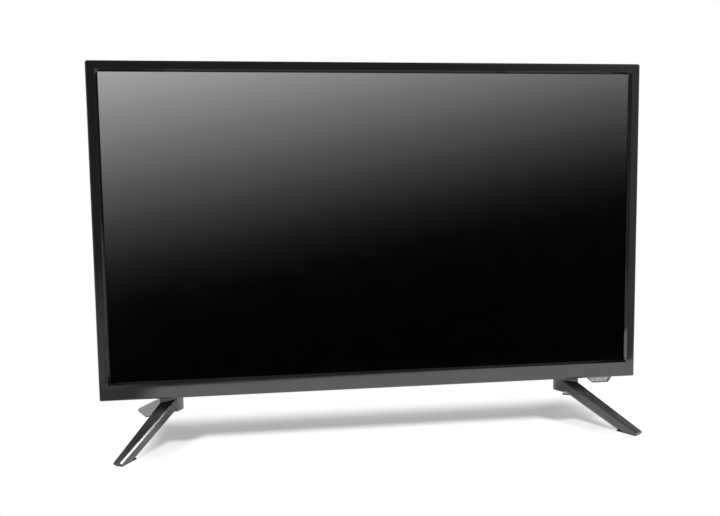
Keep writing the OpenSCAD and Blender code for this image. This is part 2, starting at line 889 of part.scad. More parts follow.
module audio_jacks() {
    y = y_parts + jack_size.y / 2;
    x0 = wall_l + cover_wall + socket_inset;
    color("#26282a")
        for (z = JACKS)
            difference() {
                union() {
                    block([x0, y_parts, z - jack_size.z / 2],
                        [x0 + jack_size.x, y_parts + jack_size.y, z + jack_size.z / 2]);
                    rod_x(y, z, mouth_l, x0 + cut, jack_nose_r);
                }
                rod_x(y, z, mouth_l - cut, x0 + jack_size.x - jack_floor, jack_bore_r);
            }
}

// Block of the given size on a board, centred at x and z and raised by lift
module on_board(x, z, size, lift = 0) {
    translate([x - size.x / 2, y_parts + lift, z - size.z / 2]) cube(size);
}

// Transformer: ferrite core round a wound bobbin
module transformer() {
    color("#d8b93a") {
        on_board(core_x, core_z, core_size);
        on_board(core_x, core_z, bobbin_size, (core_size.y - bobbin_size.y) / 2);
    }
}

module capacitors() {
    color("#2a3550") {
        for (c = MAIN_CAPS)
            rod_y(main_x0 + c[0], main_z0 + c[1], y_parts, y_parts + c[3], c[2]);
        for (c = POWER_CAPS)
            rod_y(power_x0 + c[0], power_z0 + c[1], y_parts, y_parts + c[3], c[2]);
    }
}

// Upright cooling plate with bent tabs
module power_heat_sink() {
    color("#a9adb1") {
        on_board(fin_x, fin_z, fin_size);
        for (i = [0:tab_count - 1])
            on_board(fin_x + (fin_size.x + tab_size.x) / 2, fin_z + (i - (tab_count - 1) / 2) * tab_pitch,
                tab_size, fin_size.y - tab_size.y);
    }
}

// Mains filter choke: a closed core standing on the board
module line_filter() {
    hole = [choke_size.x + 2 * cut, choke_hole[0], choke_hole[1]];
    color("#a5642a")
        difference() {
            on_board(choke_x, inlet_z, choke_size);
            on_board(choke_x, inlet_z, hole, (choke_size.y - choke_hole[0]) / 2);
        }
}

// Two-pin mains inlet, mouth towards +X
module ac_inlet() {
    y = y_parts + inlet_size.y / 2;
    color("#222325") {
        difference() {
            block([mouth_r - inlet_size.x, y_parts, inlet_z - inlet_size.z / 2],
                [mouth_r, y_parts + inlet_size.y, inlet_z + inlet_size.z / 2]);
            for (s = [-1, 1])
                rod_x(y, inlet_z + s * inlet_pitch / 2, mouth_r - inlet_d, mouth_r + cut, inlet_r);
            block([mouth_r - inlet_d, y - inlet_r, inlet_z - inlet_pitch / 2],
                [mouth_r + cut, y + inlet_r, inlet_z + inlet_pitch / 2]);
        }
        for (s = [-1, 1])
            rod_x(y, inlet_z + s * inlet_pitch / 2, mouth_r - inlet_d - cut, mouth_r - inlet_pin_inset,
                inlet_pin_r);
    }
}

module board_standoffs() {
    color("#c7a24a")
        for (p = BOARD_SCREWS)
            difference() {
                translate([p.x, y_back, p.y])
                    rotate([-90, 0, 0])
                        cylinder(h = y_board - y_back, r = standoff_r, $fn = 6);
                rod_y(p.x, p.y, y_back - cut, y_board + cut, screw_r + screw_gap);
            }
}

module board_screws() {
    color("#d0d2d4") {
        for (p = BOARD_SCREWS)
            small_screw(p.x, p.y, y_parts, y_back + cut);
        for (p = KEY_BOARD_SCREWS)
            small_screw(p.x, p.y, y_key_board, y_switch + key_screw_l);
    }
}

// Inner leads

// Lead from the main board's right edge down to the pan's back, at height z
module lead_out(z, w) {
    x_edge = main_x1 + lead_clear;
    folded_lead_x([[main_x1 - plug_inset, y_plug], [x_edge, y_plug], [x_edge, y_lane]], z, w);
    plug(main_x1 - plug_inset, z, plug_w, w + plug_over);
}

// Lead from the pan's back up to the power board's left edge, at height z
module lead_in(z, w) {
    x_edge = power_x0 - lead_clear;
    folded_lead_x([[power_x0 + plug_inset, y_plug], [x_edge, y_plug], [x_edge, y_lane]], z, w);
    plug(power_x0 + plug_inset, z, plug_w, w + plug_over);
}

module power_lead() {
    color("#a83030") {
        lead_out(lane_power, power_lead_w);
        lead_in(lane_power, power_lead_w);
        folded_lead_x([[main_x1 + lead_clear, y_lane], [power_x0 - lead_clear, y_lane]],
            lane_power, power_lead_w);
    }
}

module backlight_lead() {
    x_edge = power_x0 - lead_clear;
    color("#d9d9d6") {
        lead_in(lane_backlight, lead_w);
        folded_lead_x([[x_edge - backlight_lead_l, y_lane], [x_edge, y_lane]], lane_backlight, lead_w);
    }
}

// Lead from the main board's foot down to a lane on the pan's back
module lead_down(x, z_lane) {
    z_edge = main_z0 - lead_clear;
    folded_lead_z([
        [main_z0 + plug_inset, y_plug], [z_edge, y_plug], [z_edge, y_lane], [z_lane, y_lane]
    ], x, lead_w);
    plug(x, main_z0 + plug_inset, lead_w + plug_over / 2, plug_w);
}

// Lead down from a lane to the top of a speaker box
module lead_to_speaker(x, z_lane) {
    z = speaker_top + lead_t / 2;
    folded_lead_z([[z_lane, y_lane], [z, y_lane], [z, y_speaker + speaker_lead_y]], x, lead_w);
}

module speaker_leads() {
    x_left = -speaker_x - speaker_w / 4;
    color("#2b2b2d") {
        lead_down(x_left, lane_audio);
        lead_to_speaker(x_left, lane_audio);
        lead_down(audio_lead_x, lane_audio);
        folded_lead_x([[audio_lead_x, y_lane], [speaker_x, y_lane]], lane_audio, lead_w);
        lead_to_speaker(speaker_x, lane_audio);
    }
}

module signal_leads() {
    y_ir = (ir_y0 + ir_y1) / 2;
    z_ir = ir_board_z + ir_board_t + lead_t / 2;
    color("#e4e2da") {
        lead_down(signal_lead_x, lane_signal);
        folded_lead_x([[signal_lead_x, y_lane], [ir_lead_x, y_lane]], lane_signal, lead_w);
        folded_lead_z([[lane_signal, y_lane], [z_ir, y_lane], [z_ir, y_ir]], ir_lead_x, lead_w);
        lead_out(lane_keys, lead_w);
        folded_lead_x([[main_x1 + lead_clear, y_lane], [key_x, y_lane]], lane_keys, lead_w);
        block([key_x - lead_w, y_lane, lane_keys - lead_w / 2], [key_x, y_key_board, lane_keys + lead_w / 2]);
    }
}

// Speakers

module speaker_box() {
    w = speaker_wall;
    difference() {
        block([speaker_x - speaker_w / 2, y_speaker, z_floor],
            [speaker_x + speaker_w / 2, y_baffle, speaker_top]);
        block([speaker_x - speaker_w / 2 + w, y_speaker + w, z_floor + w],
            [speaker_x + speaker_w / 2 - w, y_baffle - w, speaker_top - w]);
        rod_y(speaker_x, speaker_z, y_baffle - w - cut, y_baffle + cut, basket_r + fit_gap);
    }
}

// Flange on the baffle, basket behind it and magnet at its back
module speaker_driver() {
    inner = cone_r + basket_gap;
    floor_y = -basket_d - basket_t;
    translate([speaker_x, y_baffle, speaker_z])
        rotate([-90, 0, 0])
            rotate_extrude()
                polygon([
                    [0, -basket_d], [inner, -basket_d], [inner, flange_t], [basket_r + flange_w, flange_t],
                    [basket_r + flange_w, 0], [basket_r, 0], [basket_r, floor_y], [magnet_r, floor_y],
                    [magnet_r, floor_y - magnet_t], [0, floor_y - magnet_t]
                ]);
}

// Paper cone with its roll edge and voice coil
module speaker_cone() {
    skin = cone_skin;
    sink = cone_sink;
    coil = sink + 4 * skin;
    inner = cone_r - cone_rim;
    translate([speaker_x, y_baffle + flange_t, speaker_z])
        rotate([-90, 0, 0])
            rotate_extrude()
                polygon([
                    [0, -sink], [coil_r, -sink], [inner, -skin], [cone_r, -skin], [cone_r, -2 * skin],
                    [inner, -2 * skin], [coil_r + skin, -sink - skin], [coil_r + skin, -coil],
                    [coil_r, -coil], [coil_r, -sink - skin], [0, -sink - skin]
                ]);
}

module right_speaker_box() { color("#1c1d1f") speaker_box(); }
module left_speaker_box() { color("#1c1d1f") mirror([1, 0, 0]) speaker_box(); }
module right_speaker_driver() { color("#8f9295") speaker_driver(); }
module left_speaker_driver() { color("#8f9295") mirror([1, 0, 0]) speaker_driver(); }
module right_speaker_cone() { color("#141414") speaker_cone(); }
module left_speaker_cone() { color("#141414") mirror([1, 0, 0]) speaker_cone(); }

// Rear cover

// Height of the bulge's sloping top at depth y
function slope_z(y) = z_bulge + bulge_slope * (y_bulge - y) / bulge_rise;

// How far the leaning edges lie inside the cabinet's outline at depth y
function lean_at(y) = cover_lean * (y - y_back) / thin_room;

// Solid whose top and sides lean in behind the screen module, w inside the cover's own
module leaning_block(y0, y1, w) {
    tapered_block(y0, y1, cab_w / 2 - w - lean_at(y0 + w), cab_w / 2 - w - lean_at(y1 + w),
        z_low - cut, z_low - cut, z_high - w - lean_at(y0 + w), z_high - w - lean_at(y1 + w));
}

module cover_outside() {
    intersection() {
        round_plate(cab_w, z_low, z_high, y_split, y_thin, corner_r);
        leaning_block(y_split - cut, y_thin + cut, 0);
    }
    tapered_block(y_inner, y_bulge, wall_r, wall_r, z_low, z_low, slope_z(y_inner), slope_z(y_bulge));
}

module cover_inside() {
    w = cover_wall;
    half = cab_w / 2 - w;
    deep = y_bulge - w;
    start = y_inner - cut;
    intersection() {
        block([-half, y_split - cut, z_floor], [half, y_inner, z_high - w]);
        leaning_block(y_split - 2 * cut, y_inner + cut, w);
    }
    tapered_block(start, deep, wall_r - w, wall_r - w, z_floor, z_floor,
        slope_z(start) - slope_wall, slope_z(deep) - slope_wall);
}

// Row of upright slots through the bulge's back
module slot_row(x, z, count, h) {
    for (i = [0:count - 1])
        translate([x + (i - (count - 1) / 2) * slot_pitch, y_bulge - cover_wall - cut, z - h / 2])
            translate([-slot_w / 2, 0, 0])
                cube([slot_w, cover_wall + 2 * cut, h]);
}

// Cut in the side wall for a socket of the given size
module socket_cut(size, z) {
    g = socket_gap;
    block([wall_l - cut, y_parts - g, z - size.z / 2 - g],
        [wall_l + cover_wall + cut, y_parts + size.y + g, z + size.z / 2 + g]);
}

module rear_cover() {
    vent_z = z_bulge - vent_drop - vent_h / 2;
    vent_x = (vesa_pitch / 2 + vesa_post_r + wall_r) / 2;
    aerial_y = y_parts + tuner_size.y / 2;
    jack_y = y_parts + jack_size.y / 2;
    color("#1f2022")
        difference() {
            union() {
                difference() {
                    cover_outside();
                    cover_inside();
                }
                for (p = COVER_SCREWS)
                    rod_y(p.x, p.y, y_back, y_inner + cut, boss_r);
                for (p = KEY_BOARD_SCREWS)
                    rod_y(p.x, p.y, y_switch, y_inner + cut, key_boss_r);
            }
            for (p = COVER_SCREWS) {
                rod_y(p.x, p.y, y_back - cut, y_thin + cut, screw_r + fit_gap);
                rod_y(p.x, p.y, y_thin - screw_head_h, y_thin + cut, screw_head_r + fit_gap);
            }
            for (p = KEY_BOARD_SCREWS)
                rod_y(p.x, p.y, y_switch - cut, y_switch + key_screw_l + cut, screw_r + screw_gap);
            for (p = VESA)
                rod_y(p.x, p.y, y_bulge - cover_wall - cut, y_bulge + cut, vesa_post_r + fit_gap);
            for (i = [0:len(KEYS) - 1])
                rod_y(key_x, key_z(i), y_inner - cut, y_thin + cut, key_r + key_gap);
            for (s = [-1, 1]) {
                slot_row(s * vent_x, vent_z, vent_count, vent_h);
                slot_row(s * speaker_x, speaker_z, grille_count, grille_h);
                for (y = [-1, 1])
                    translate([s * leg_screw_x, y * leg_screw_y, z_low - cut])
                        cylinder(h = cover_wall + 2 * cut, r = leg_screw_r + fit_gap);
            }
            for (z = HDMI)
                socket_cut(hdmi_size, z);
            socket_cut(usb_size, usb_z);
            for (z = JACKS)
                rod_x(jack_y, z, wall_l - cut, wall_l + cover_wall + cut, jack_nose_r + socket_gap);
            rod_x(aerial_y, tuner_z, wall_l - cut, wall_l + cover_wall + cut, aerial_r + socket_gap);
            mirror([1, 0, 0]) socket_cut(inlet_size, inlet_z);
        }
}

module cover_screws() {
    color("#3a3c3e")
        for (p = COVER_SCREWS)
            small_screw(p.x, p.y, y_thin - screw_head_h, y_pan);
}

module vesa_posts() {
    color("#b4b7ba")
        for (p = VESA)
            difference() {
                rod_y(p.x, p.y, y_back, y_bulge, vesa_post_r);
                rod_y(p.x, p.y, y_bulge - vesa_hole_d, y_bulge + cut, vesa_hole_r);
            }
}

// Keys

module key_board() {
    color("#1f5a3a")
        difference() {
            block([key_x - key_board_w / 2, y_key_board, z_mid - key_board_half],
                [key_x + key_board_w / 2, y_switch, z_mid + key_board_half]);
            for (p = KEY_BOARD_SCREWS)
                rod_y(p.x, p.y, y_key_board - cut, y_switch + cut, screw_r + fit_gap);
        }
}

// Switches with their plungers at the closed height
module key_switches() {
    color("#b9bcbe")
        for (i = [0:len(KEYS) - 1]) {
            block([key_x - switch_w / 2, y_switch, key_z(i) - switch_w / 2],
                [key_x + switch_w / 2, y_switch + switch_h, key_z(i) + switch_w / 2]);
            rod_y(key_x, key_z(i), y_switch + switch_h, y_plunger, plunger_r);
        }
}

// Key with a cap through the cover, a flange behind it and a stem to its switch
module key(name) {
    z = key_z(search([name], KEYS)[0]);
    color("#2a2b2d") {
        rod_y(key_x, z, y_flange, y_thin + key_proud, key_r);
        rod_y(key_x, z, y_flange, y_flange + key_flange_t, key_r + key_flange);
        rod_y(key_x, z, y_stem, y_flange, key_stem_r);
    }
}

module power_button() { key("power"); }
module source_button() { key("source"); }
module menu_button() { key("menu"); }
module channel_up_button() { key("channel_up"); }
module channel_down_button() { key("channel_down"); }
module volume_up_button() { key("volume_up"); }
module volume_down_button() { key("volume_down"); }

// Receiver

// Board on two posts of the bottom bar, with the receiver below it
module ir_board() {
    y_mid = (ir_y0 + ir_y1) / 2;
    color("#1f5a3a") {
        block([ir_x - ir_board_w / 2, ir_y0, ir_board_z],
            [ir_x + ir_board_w / 2, ir_y1, ir_board_z + ir_board_t]);
        block([ir_x - ir_sensor[0] / 2, y_mid - ir_sensor[1] / 2, z_low + bezel_wall + ir_flange_t + fit_gap],
            [ir_x + ir_sensor[0] / 2, y_mid + ir_sensor[1] / 2, ir_board_z]);
    }
}

module ir_lens() {
    color("#b8b4ac") {
        translate([ir_x, ir_y1, 0])
            rotate([90, 0, 0])
                linear_extrude(ir_d)
                    polygon([
                        [-ir_w / 2, z_low + bezel_wall], [-ir_w / 2, z_low],
                        [-ir_foot_w / 2, z_low - ir_drop], [ir_foot_w / 2, z_low - ir_drop],
                        [ir_w / 2, z_low], [ir_w / 2, z_low + bezel_wall]
                    ]);
        block([ir_x - ir_w / 2 - ir_flange_w, ir_y0, z_low + bezel_wall],
            [ir_x + ir_w / 2 + ir_flange_w, ir_y1, z_low + bezel_wall + ir_flange_t]);
    }
}

// Stand

// Width of a limb at distance s from the hub
function limb_width(s) = limb_w_hub + (limb_w_toe - limb_w_hub) * s / limb_reach;

// Puts a limb's own frame, X along the limb and Y outwards, at the right hub
module at_limb() {
    translate([hub_x, 0, 0]) rotate([0, 0, limb_splay - 90]) children();
}

// Bevel cut along an edge that falls with the limb from height z at the hub, at distance w out
module edge_bevel(z, w, turn, size) {
    side = size * sqrt(2);
    translate([0, w, z])
        rotate([0, 0, turn])
            rotate([0, limb_pitch, 0])
                rotate([45, 0, 0])
                    translate([-limb_back, -side / 2, -side / 2])
                        cube([limb_reach + 3 * limb_back, side, side]);
}

// Limb's outline seen from above, narrower by inset
module limb_plan(inset) {
    polygon([
        [-limb_back, 0], [limb_reach, 0],
        [limb_reach, limb_w_toe - inset], [-limb_back, limb_width(-limb_back) - inset]
    ]);
}

module front_limb() {
    taper = atan((limb_w_toe - limb_w_hub) / limb_reach);
    wide = 2 * limb_w_hub;
    at_limb()
        difference() {
            intersection() {
                linear_extrude(z_low) limb_plan(0);
                translate([0, wide, 0])
                    rotate([90, 0, 0])
                        linear_extrude(2 * wide)
                            polygon([
                                [-limb_back, hub_low], [knee_s, hub_low], [heel_s, pad_t],
                                [limb_reach - toe_lean, pad_t], [limb_reach, toe_h], [0, z_low],
                                [-limb_back, z_low]
                            ]);
            }
            edge_bevel(z_low, 0, 0, limb_bevel);
            edge_bevel(z_low, limb_w_hub, taper, limb_bevel);
            edge_bevel(z_low - limb_h, 0, 0, limb_under_bevel);
        }
}

// Block that joins the limbs to the cabinet
module leg_neck() {
    at_limb()
        translate([0, 0, hub_low])
            linear_extrude(z_low - hub_low) limb_plan(neck_inset);
}

module right_leg_solid() {
    far = 2 * limb_reach;
    half = [hub_x + hub_flat, 0, 0];
    difference() {
        for (s = [0, 1])
            mirror([0, s, 0])
                intersection() {
                    union() {
                        front_limb();
                        intersection() {
                            leg_neck();
                            block([0, -neck_half, 0], [2 * hub_x, far, z_low]);
                        }
                    }
                    block(half - [0, far, 0], half + [far, 0, far]);
                }
        for (y = [-1, 1])
            translate([leg_screw_x, y * leg_screw_y, 0]) {
                cylinder(h = z_low + cut, r = leg_screw_r + fit_gap);
                cylinder(h = hub_low + counterbore_d, r = leg_screw_head_r + fit_gap);
            }
    }
}

module right_leg() { color("#2b2c2e") right_leg_solid(); }
module left_leg() { color("#2b2c2e") mirror([1, 0, 0]) right_leg_solid(); }

// Pads under the soles of the toes
module foot_pads() {
    s0 = heel_s + pad_inset;
    s1 = limb_reach - toe_lean - pad_inset;
    color("#101010")
        for (x = [0, 1], y = [0, 1])
            mirror([x, 0, 0])
                mirror([0, y, 0])
                    at_limb()
                        linear_extrude(pad_t)
                            polygon([
                                [s0, pad_inset], [s1, pad_inset],
                                [s1, limb_width(s1) - pad_inset], [s0, limb_width(s0) - pad_inset]
                            ]);
}

// Steel angles inside the cabinet that take the leg screws
module stand_brackets() {
    color("#9ea2a5")
        for (s = [0, 1])
            mirror([s, 0, 0])
                difference() {
                    union() {
                        block([leg_screw_x - bracket_w / 2, -neck_half, z_floor],
                            [leg_screw_x + bracket_w / 2, neck_half, z_floor + bracket_t]);
                        block([leg_screw_x - bracket_w / 2, y_back, z_floor],
                            [leg_screw_x + bracket_w / 2, y_back + bracket_t, z_floor + bracket_h]);
                    }
                    for (y = [-1, 1])
                        translate([leg_screw_x, y * leg_screw_y, z_floor - cut])
                            cylinder(h = bracket_t + 2 * cut, r = leg_screw_r + screw_gap);
                }
}

module leg_screws() {
    z_head_seat = hub_low + counterbore_d;
    color("#5a5d60")
        for (x = [-1, 1], y = [-1, 1])
            translate([x * leg_screw_x, y * leg_screw_y, 0]) {
                translate([0, 0, z_head_seat - leg_screw_head_h])
                    cylinder(h = leg_screw_head_h, r = leg_screw_head_r);
                translate([0, 0, z_head_seat - cut])
                    cylinder(h = z_floor + bracket_t + cut - z_head_seat, r = leg_screw_r);
            }
}

bezel_frame();
bezel_bottom_bar();
panel_gasket();
lcd_panel();
middle_frame();
prism_sheet();
diffuser_sheet();
diffuser_plate();
reflector_sheet();
diffuser_posts();
led_strips();
led_lenses();
backlight_pan();
driver_board();
driver_flexes();
lvds_ribbon();
main_board();
board_chips();
heat_sink();
tuner();
hdmi_sockets();
usb_socket();
audio_jacks();
power_board();
transformer();
capacitors();
power_heat_sink();
line_filter();
ac_inlet();
board_standoffs();
board_screws();
backlight_lead();
power_lead();
speaker_leads();
signal_leads();
left_speaker_box();
right_speaker_box();
left_speaker_driver();
right_speaker_driver();
left_speaker_cone();
right_speaker_cone();
rear_cover();
cover_screws();
vesa_posts();
key_board();
key_switches();
power_button();
source_button();
menu_button();
channel_up_button();
channel_down_button();
volume_up_button();
volume_down_button();
ir_board();
ir_lens();
left_leg();
right_leg();
foot_pads();
stand_brackets();
leg_screws();
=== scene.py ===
"""Looks of the flat screen television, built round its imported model.

All sizes are in metres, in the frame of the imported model: X to the viewer's right, Y to the back, Z up.
"""
from __future__ import annotations

import json
import logging
import math
from dataclasses import dataclass
from enum import Enum
from typing import Iterable, Sequence, Union

import bmesh
import bpy
import numpy as np
from mathutils import Matrix, Vector

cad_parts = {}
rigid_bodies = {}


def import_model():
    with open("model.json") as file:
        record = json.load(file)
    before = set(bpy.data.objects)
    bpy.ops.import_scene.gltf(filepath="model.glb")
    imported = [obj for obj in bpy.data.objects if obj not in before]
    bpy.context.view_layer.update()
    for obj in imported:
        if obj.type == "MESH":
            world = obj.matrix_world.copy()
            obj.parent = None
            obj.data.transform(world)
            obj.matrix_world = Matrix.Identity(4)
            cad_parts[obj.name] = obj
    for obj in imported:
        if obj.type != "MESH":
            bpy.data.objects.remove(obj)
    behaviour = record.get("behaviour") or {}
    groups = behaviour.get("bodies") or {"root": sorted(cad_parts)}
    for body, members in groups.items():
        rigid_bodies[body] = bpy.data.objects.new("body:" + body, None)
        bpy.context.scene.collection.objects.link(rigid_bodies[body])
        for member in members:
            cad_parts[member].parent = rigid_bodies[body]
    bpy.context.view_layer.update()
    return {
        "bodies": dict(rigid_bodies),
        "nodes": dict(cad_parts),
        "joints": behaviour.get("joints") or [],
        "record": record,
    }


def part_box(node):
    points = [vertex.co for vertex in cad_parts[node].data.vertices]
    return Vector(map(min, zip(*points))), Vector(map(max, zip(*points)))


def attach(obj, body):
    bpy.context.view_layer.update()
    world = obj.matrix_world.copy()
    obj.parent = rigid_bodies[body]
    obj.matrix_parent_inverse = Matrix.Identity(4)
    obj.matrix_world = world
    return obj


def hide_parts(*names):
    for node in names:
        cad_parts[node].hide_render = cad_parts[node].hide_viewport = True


LOG = logging.getLogger("television")
MM = 0.001
ROOT = "television"
WHITE = (1.0, 1.0, 1.0, 1.0)
UNSTRETCHED = (1.0, 1.0, 1.0)

# Numbers of the Mix node's sockets, because their names repeat
MIX_FACTOR = 0
MIX_FIRST_FLOAT = 2
MIX_SECOND_FLOAT = 3
MIX_FIRST_COLOUR = 6
MIX_SECOND_COLOUR = 7
MIXED_COLOUR = 2

Socket = bpy.types.NodeSocket
Value = Union[float, Sequence[float], Socket]
Colour = tuple[float, float, float]
Spot = tuple[float, float, float]
Profile = Sequence[tuple[float, float]]
Box = tuple[Vector, Vector]
Loop = list[bmesh.types.BMVert]


class Graph:
    """Adds and links the nodes of one node tree."""

    def __init__(self, tree: bpy.types.NodeTree) -> None:
        """Starts with an empty tree.

        Args:
            tree: The node tree of a material, light or world.
        """
        self.tree = tree
        tree.nodes.clear()

    def add(self, kind: str, inputs: dict[str | int, Value] | None = None,
            **settings: object) -> bpy.types.Node:
        """Adds a node.

        Args:
            kind: The node's type name.
            inputs: Socket name or number to a value, or to a socket to link from.
            settings: Attributes of the node itself.

        Returns:
            The new node.
        """
        node = self.tree.nodes.new(kind)
        for name, value in settings.items():
            setattr(node, name, value)
        for key, value in (inputs or {}).items():
            if isinstance(value, Socket):
                self.tree.links.new(value, node.inputs[key])
            else:
                node.inputs[key].default_value = value
        return node

    def math(self, operation: str, first: Value, second: Value = 0.0) -> Socket:
        """Returns the result of one arithmetic node."""
        return self.add("ShaderNodeMath", {0: first, 1: second}, operation=operation).outputs[0]

    def chain(self, operation: str, values: Sequence[Value]) -> Value:
        """Joins several values by one kind of arithmetic.

        Args:
            operation: The arithmetic node's operation.
            values: The values, from first to last.

        Returns:
            The result's socket, or the value itself where there is only one.
        """
        result = values[0]
        for value in values[1:]:
            result = self.math(operation, result, value)
        return result

    def mix(self, factor: Value, first: Value, second: Value) -> Socket:
        """Returns a colour between two colours."""
        inputs = {MIX_FACTOR: factor, MIX_FIRST_COLOUR: first, MIX_SECOND_COLOUR: second}
        return self.add("ShaderNodeMix", inputs, data_type="RGBA").outputs[MIXED_COLOUR]

    def spread(self, value: Value, low: float, high: float, start: float = 0.3, end: float = 0.7,
               smooth: bool = False) -> Socket:
        """Maps a value from one range to another.

        Args:
            value: The value to map.
            low: Result at the start of the range.
            high: Result at the end of the range.
            start: Where the range starts; the usual one suits the noise.
            end: Where the range ends.
            smooth: Whether the ramp eases in and out.

        Returns:
            The mapped value's socket.
        """
        kind = "SMOOTHSTEP" if smooth else "LINEAR"
        inputs = {"Value": value, "From Min": start, "From Max": end, "To Min": low, "To Max": high}
        return self.add("ShaderNodeMapRange", inputs, interpolation_type=kind).outputs[0]

    def split(self, vector: Socket) -> list[Socket]:
        """Returns the three parts of a vector."""
        return list(self.add("ShaderNodeSeparateXYZ", {0: vector}).outputs)

    def place(self, stretch: Sequence[float] = UNSTRETCHED) -> Socket:
        """Returns the point on the piece, in metres, with each axis multiplied by a stretch."""
        spot = self.add("ShaderNodeTexCoord").outputs["Object"]
        return self.add("ShaderNodeMapping", {"Vector": spot, "Scale": stretch}).outputs[0]

    def noise(self, place: Socket, size: float, detail: float = 3.0) -> Socket:
        """Returns soft noise whose features have the given size."""
        inputs = {"Vector": place, "Scale": 1.0 / size, "Detail": detail}
        return self.add("ShaderNodeTexNoise", inputs).outputs["Fac"]

    def cells(self, place: Socket, size: float) -> Socket:
        """Returns the distance to the nearest cell point, for cells of the given size."""
        inputs = {"Vector": place, "Scale": 1.0 / size}
        return self.add("ShaderNodeTexVoronoi", inputs).outputs["Distance"]

    def tracks(self, place: Socket, size: float, lines: int = 4, gap: float = 0.55,
               turned: float = 0.5) -> Socket:
        """Lays circuit tracks, which run along X in some square blocks and along Z in the others.

        Args:
            place: The point on the board.
            size: Side of one block.
            lines: Tracks in one block.
            gap: Share of the bare board between two tracks.
            turned: Share of the blocks whose tracks run along Z.

        Returns:
            1 on a track and 0 beside it.
        """
        grid = {0: place, 1: (size, size, size)}
        block = self.add("ShaderNodeVectorMath", grid, operation="SNAP").outputs[0]
        chance = self.add("ShaderNodeTexWhiteNoise", {"Vector": block}).outputs["Value"]
        x, _, z = self.split(place)
        chosen = self.math("GREATER_THAN", chance, turned)
        choice = {MIX_FACTOR: chosen, MIX_FIRST_FLOAT: x, MIX_SECOND_FLOAT: z}
        across = self.add("ShaderNodeMix", choice).outputs[0]
        phase = self.math("FRACT", self.math("MULTIPLY", across, lines / size))
        return self.math("GREATER_THAN", phase, gap)


class Grain(Enum):
    """Relief that a finish carries."""

    POLISHED = "polished"
    SPARK = "spark"
    BRUSHED = "brushed"
    TRACES = "traces"
    FIBRE = "fibre"
    WOUND = "wound"


class Axis(Enum):
    """Direction of brushed lines, as how far the noise is stretched along X, Y and Z."""

    X = (0.04, 1.0, 1.0)
    Z = (1.0, 1.0, 0.04)


# How fine the noise, the windings and the wear of the finishes are
NOISE_DETAIL = {Grain.POLISHED: 2.0, Grain.BRUSHED: 5.0, Grain.FIBRE: 8.0}
WINDING_WOBBLE = 0.4
WEAR_DETAIL = 5.0
WEAR_PER_PATCH = 3.0


@dataclass(frozen=True)
class Finish:
    """Surface finish of one material slot.

    Args:
        slot: The record's material slot.
        colour: Main colour, linear.
        second: Colour that shows in patches, or on tracks and windings.
        roughness: Least and greatest roughness.
        grain: Kind of relief.
        size: Size of the relief's features.
        depth: Height of the relief.
        patch: Size of the patches.
        axis: Direction of brushed lines.
        metallic: Share of metal.
        ior: Index of refraction.
        specular: Strength of the reflection at its face.
        transmission: Share of light let through.
    """

    slot: str
    colour: Colour
    second: Colour
    roughness: tuple[float, float]
    grain: Grain
    size: float
    depth: float
    patch: float = 20 * MM
    axis: Axis = Axis.X
    metallic: float = 0.0
    ior: float = 1.5
    specular: float = 0.5
    transmission: float = 0.0

    def relief(self, graph: Graph) -> Socket:
        """Adds the relief's height.

        Args:
            graph: The material's nodes.

        Returns:
            Height from 0 to 1.
        """
        if self.grain is Grain.SPARK:
            return graph.cells(graph.place(), self.size)
        if self.grain is Grain.TRACES:
            return graph.tracks(graph.place(), self.size)
        if self.grain is Grain.WOUND:
            wave = {"Vector": graph.place(), "Scale": 1.0 / self.size, "Distortion": WINDING_WOBBLE}
            return graph.add("ShaderNodeTexWave", wave, bands_direction="Z").outputs["Fac"]
        stretch = self.axis.value if self.grain is Grain.BRUSHED else UNSTRETCHED
        return graph.noise(graph.place(stretch), self.size, NOISE_DETAIL[self.grain])

    def tint(self, graph: Graph, relief: Socket) -> Socket:
        """Finds where the second colour shows: on tracks and windings, or else in soft patches.

        Args:
            graph: The material's nodes.
            relief: The relief's height.

        Returns:
            Share of the second colour.
        """
        if self.grain in (Grain.TRACES, Grain.WOUND):
            return relief
        return graph.spread(graph.noise(graph.place(), self.patch), 0.0, 1.0)

    def colours(self, graph: Graph, relief: Socket) -> Socket:
        """Returns the surface's colour."""
        return graph.mix(self.tint(graph, relief), (*self.colour, 1.0), (*self.second, 1.0))

    def make(self) -> bpy.types.Material:
        """Builds the material.

        Returns:
            A node material named for its slot.
        """
        material = bpy.data.materials.new(self.slot)
        material.use_nodes = True
        graph = Graph(material.node_tree)
        relief = self.relief(graph)
        worn = graph.noise(graph.place(), self.patch / WEAR_PER_PATCH, WEAR_DETAIL)
        bump = graph.add("ShaderNodeBump", {"Height": relief, "Distance": self.depth, "Strength": 1.0})
        shader = graph.add("ShaderNodeBsdfPrincipled", {
            "Base Color": self.colours(graph, relief),
            "Roughness": graph.spread(worn, *self.roughness),
            "Metallic": self.metallic,
            "IOR": self.ior,
            "Specular IOR Level": self.specular,
            "Transmission Weight": self.transmission,
            "Normal": bump.outputs[0],
        })
        graph.add("ShaderNodeOutputMaterial", {"Surface": shader.outputs[0]})
        return material


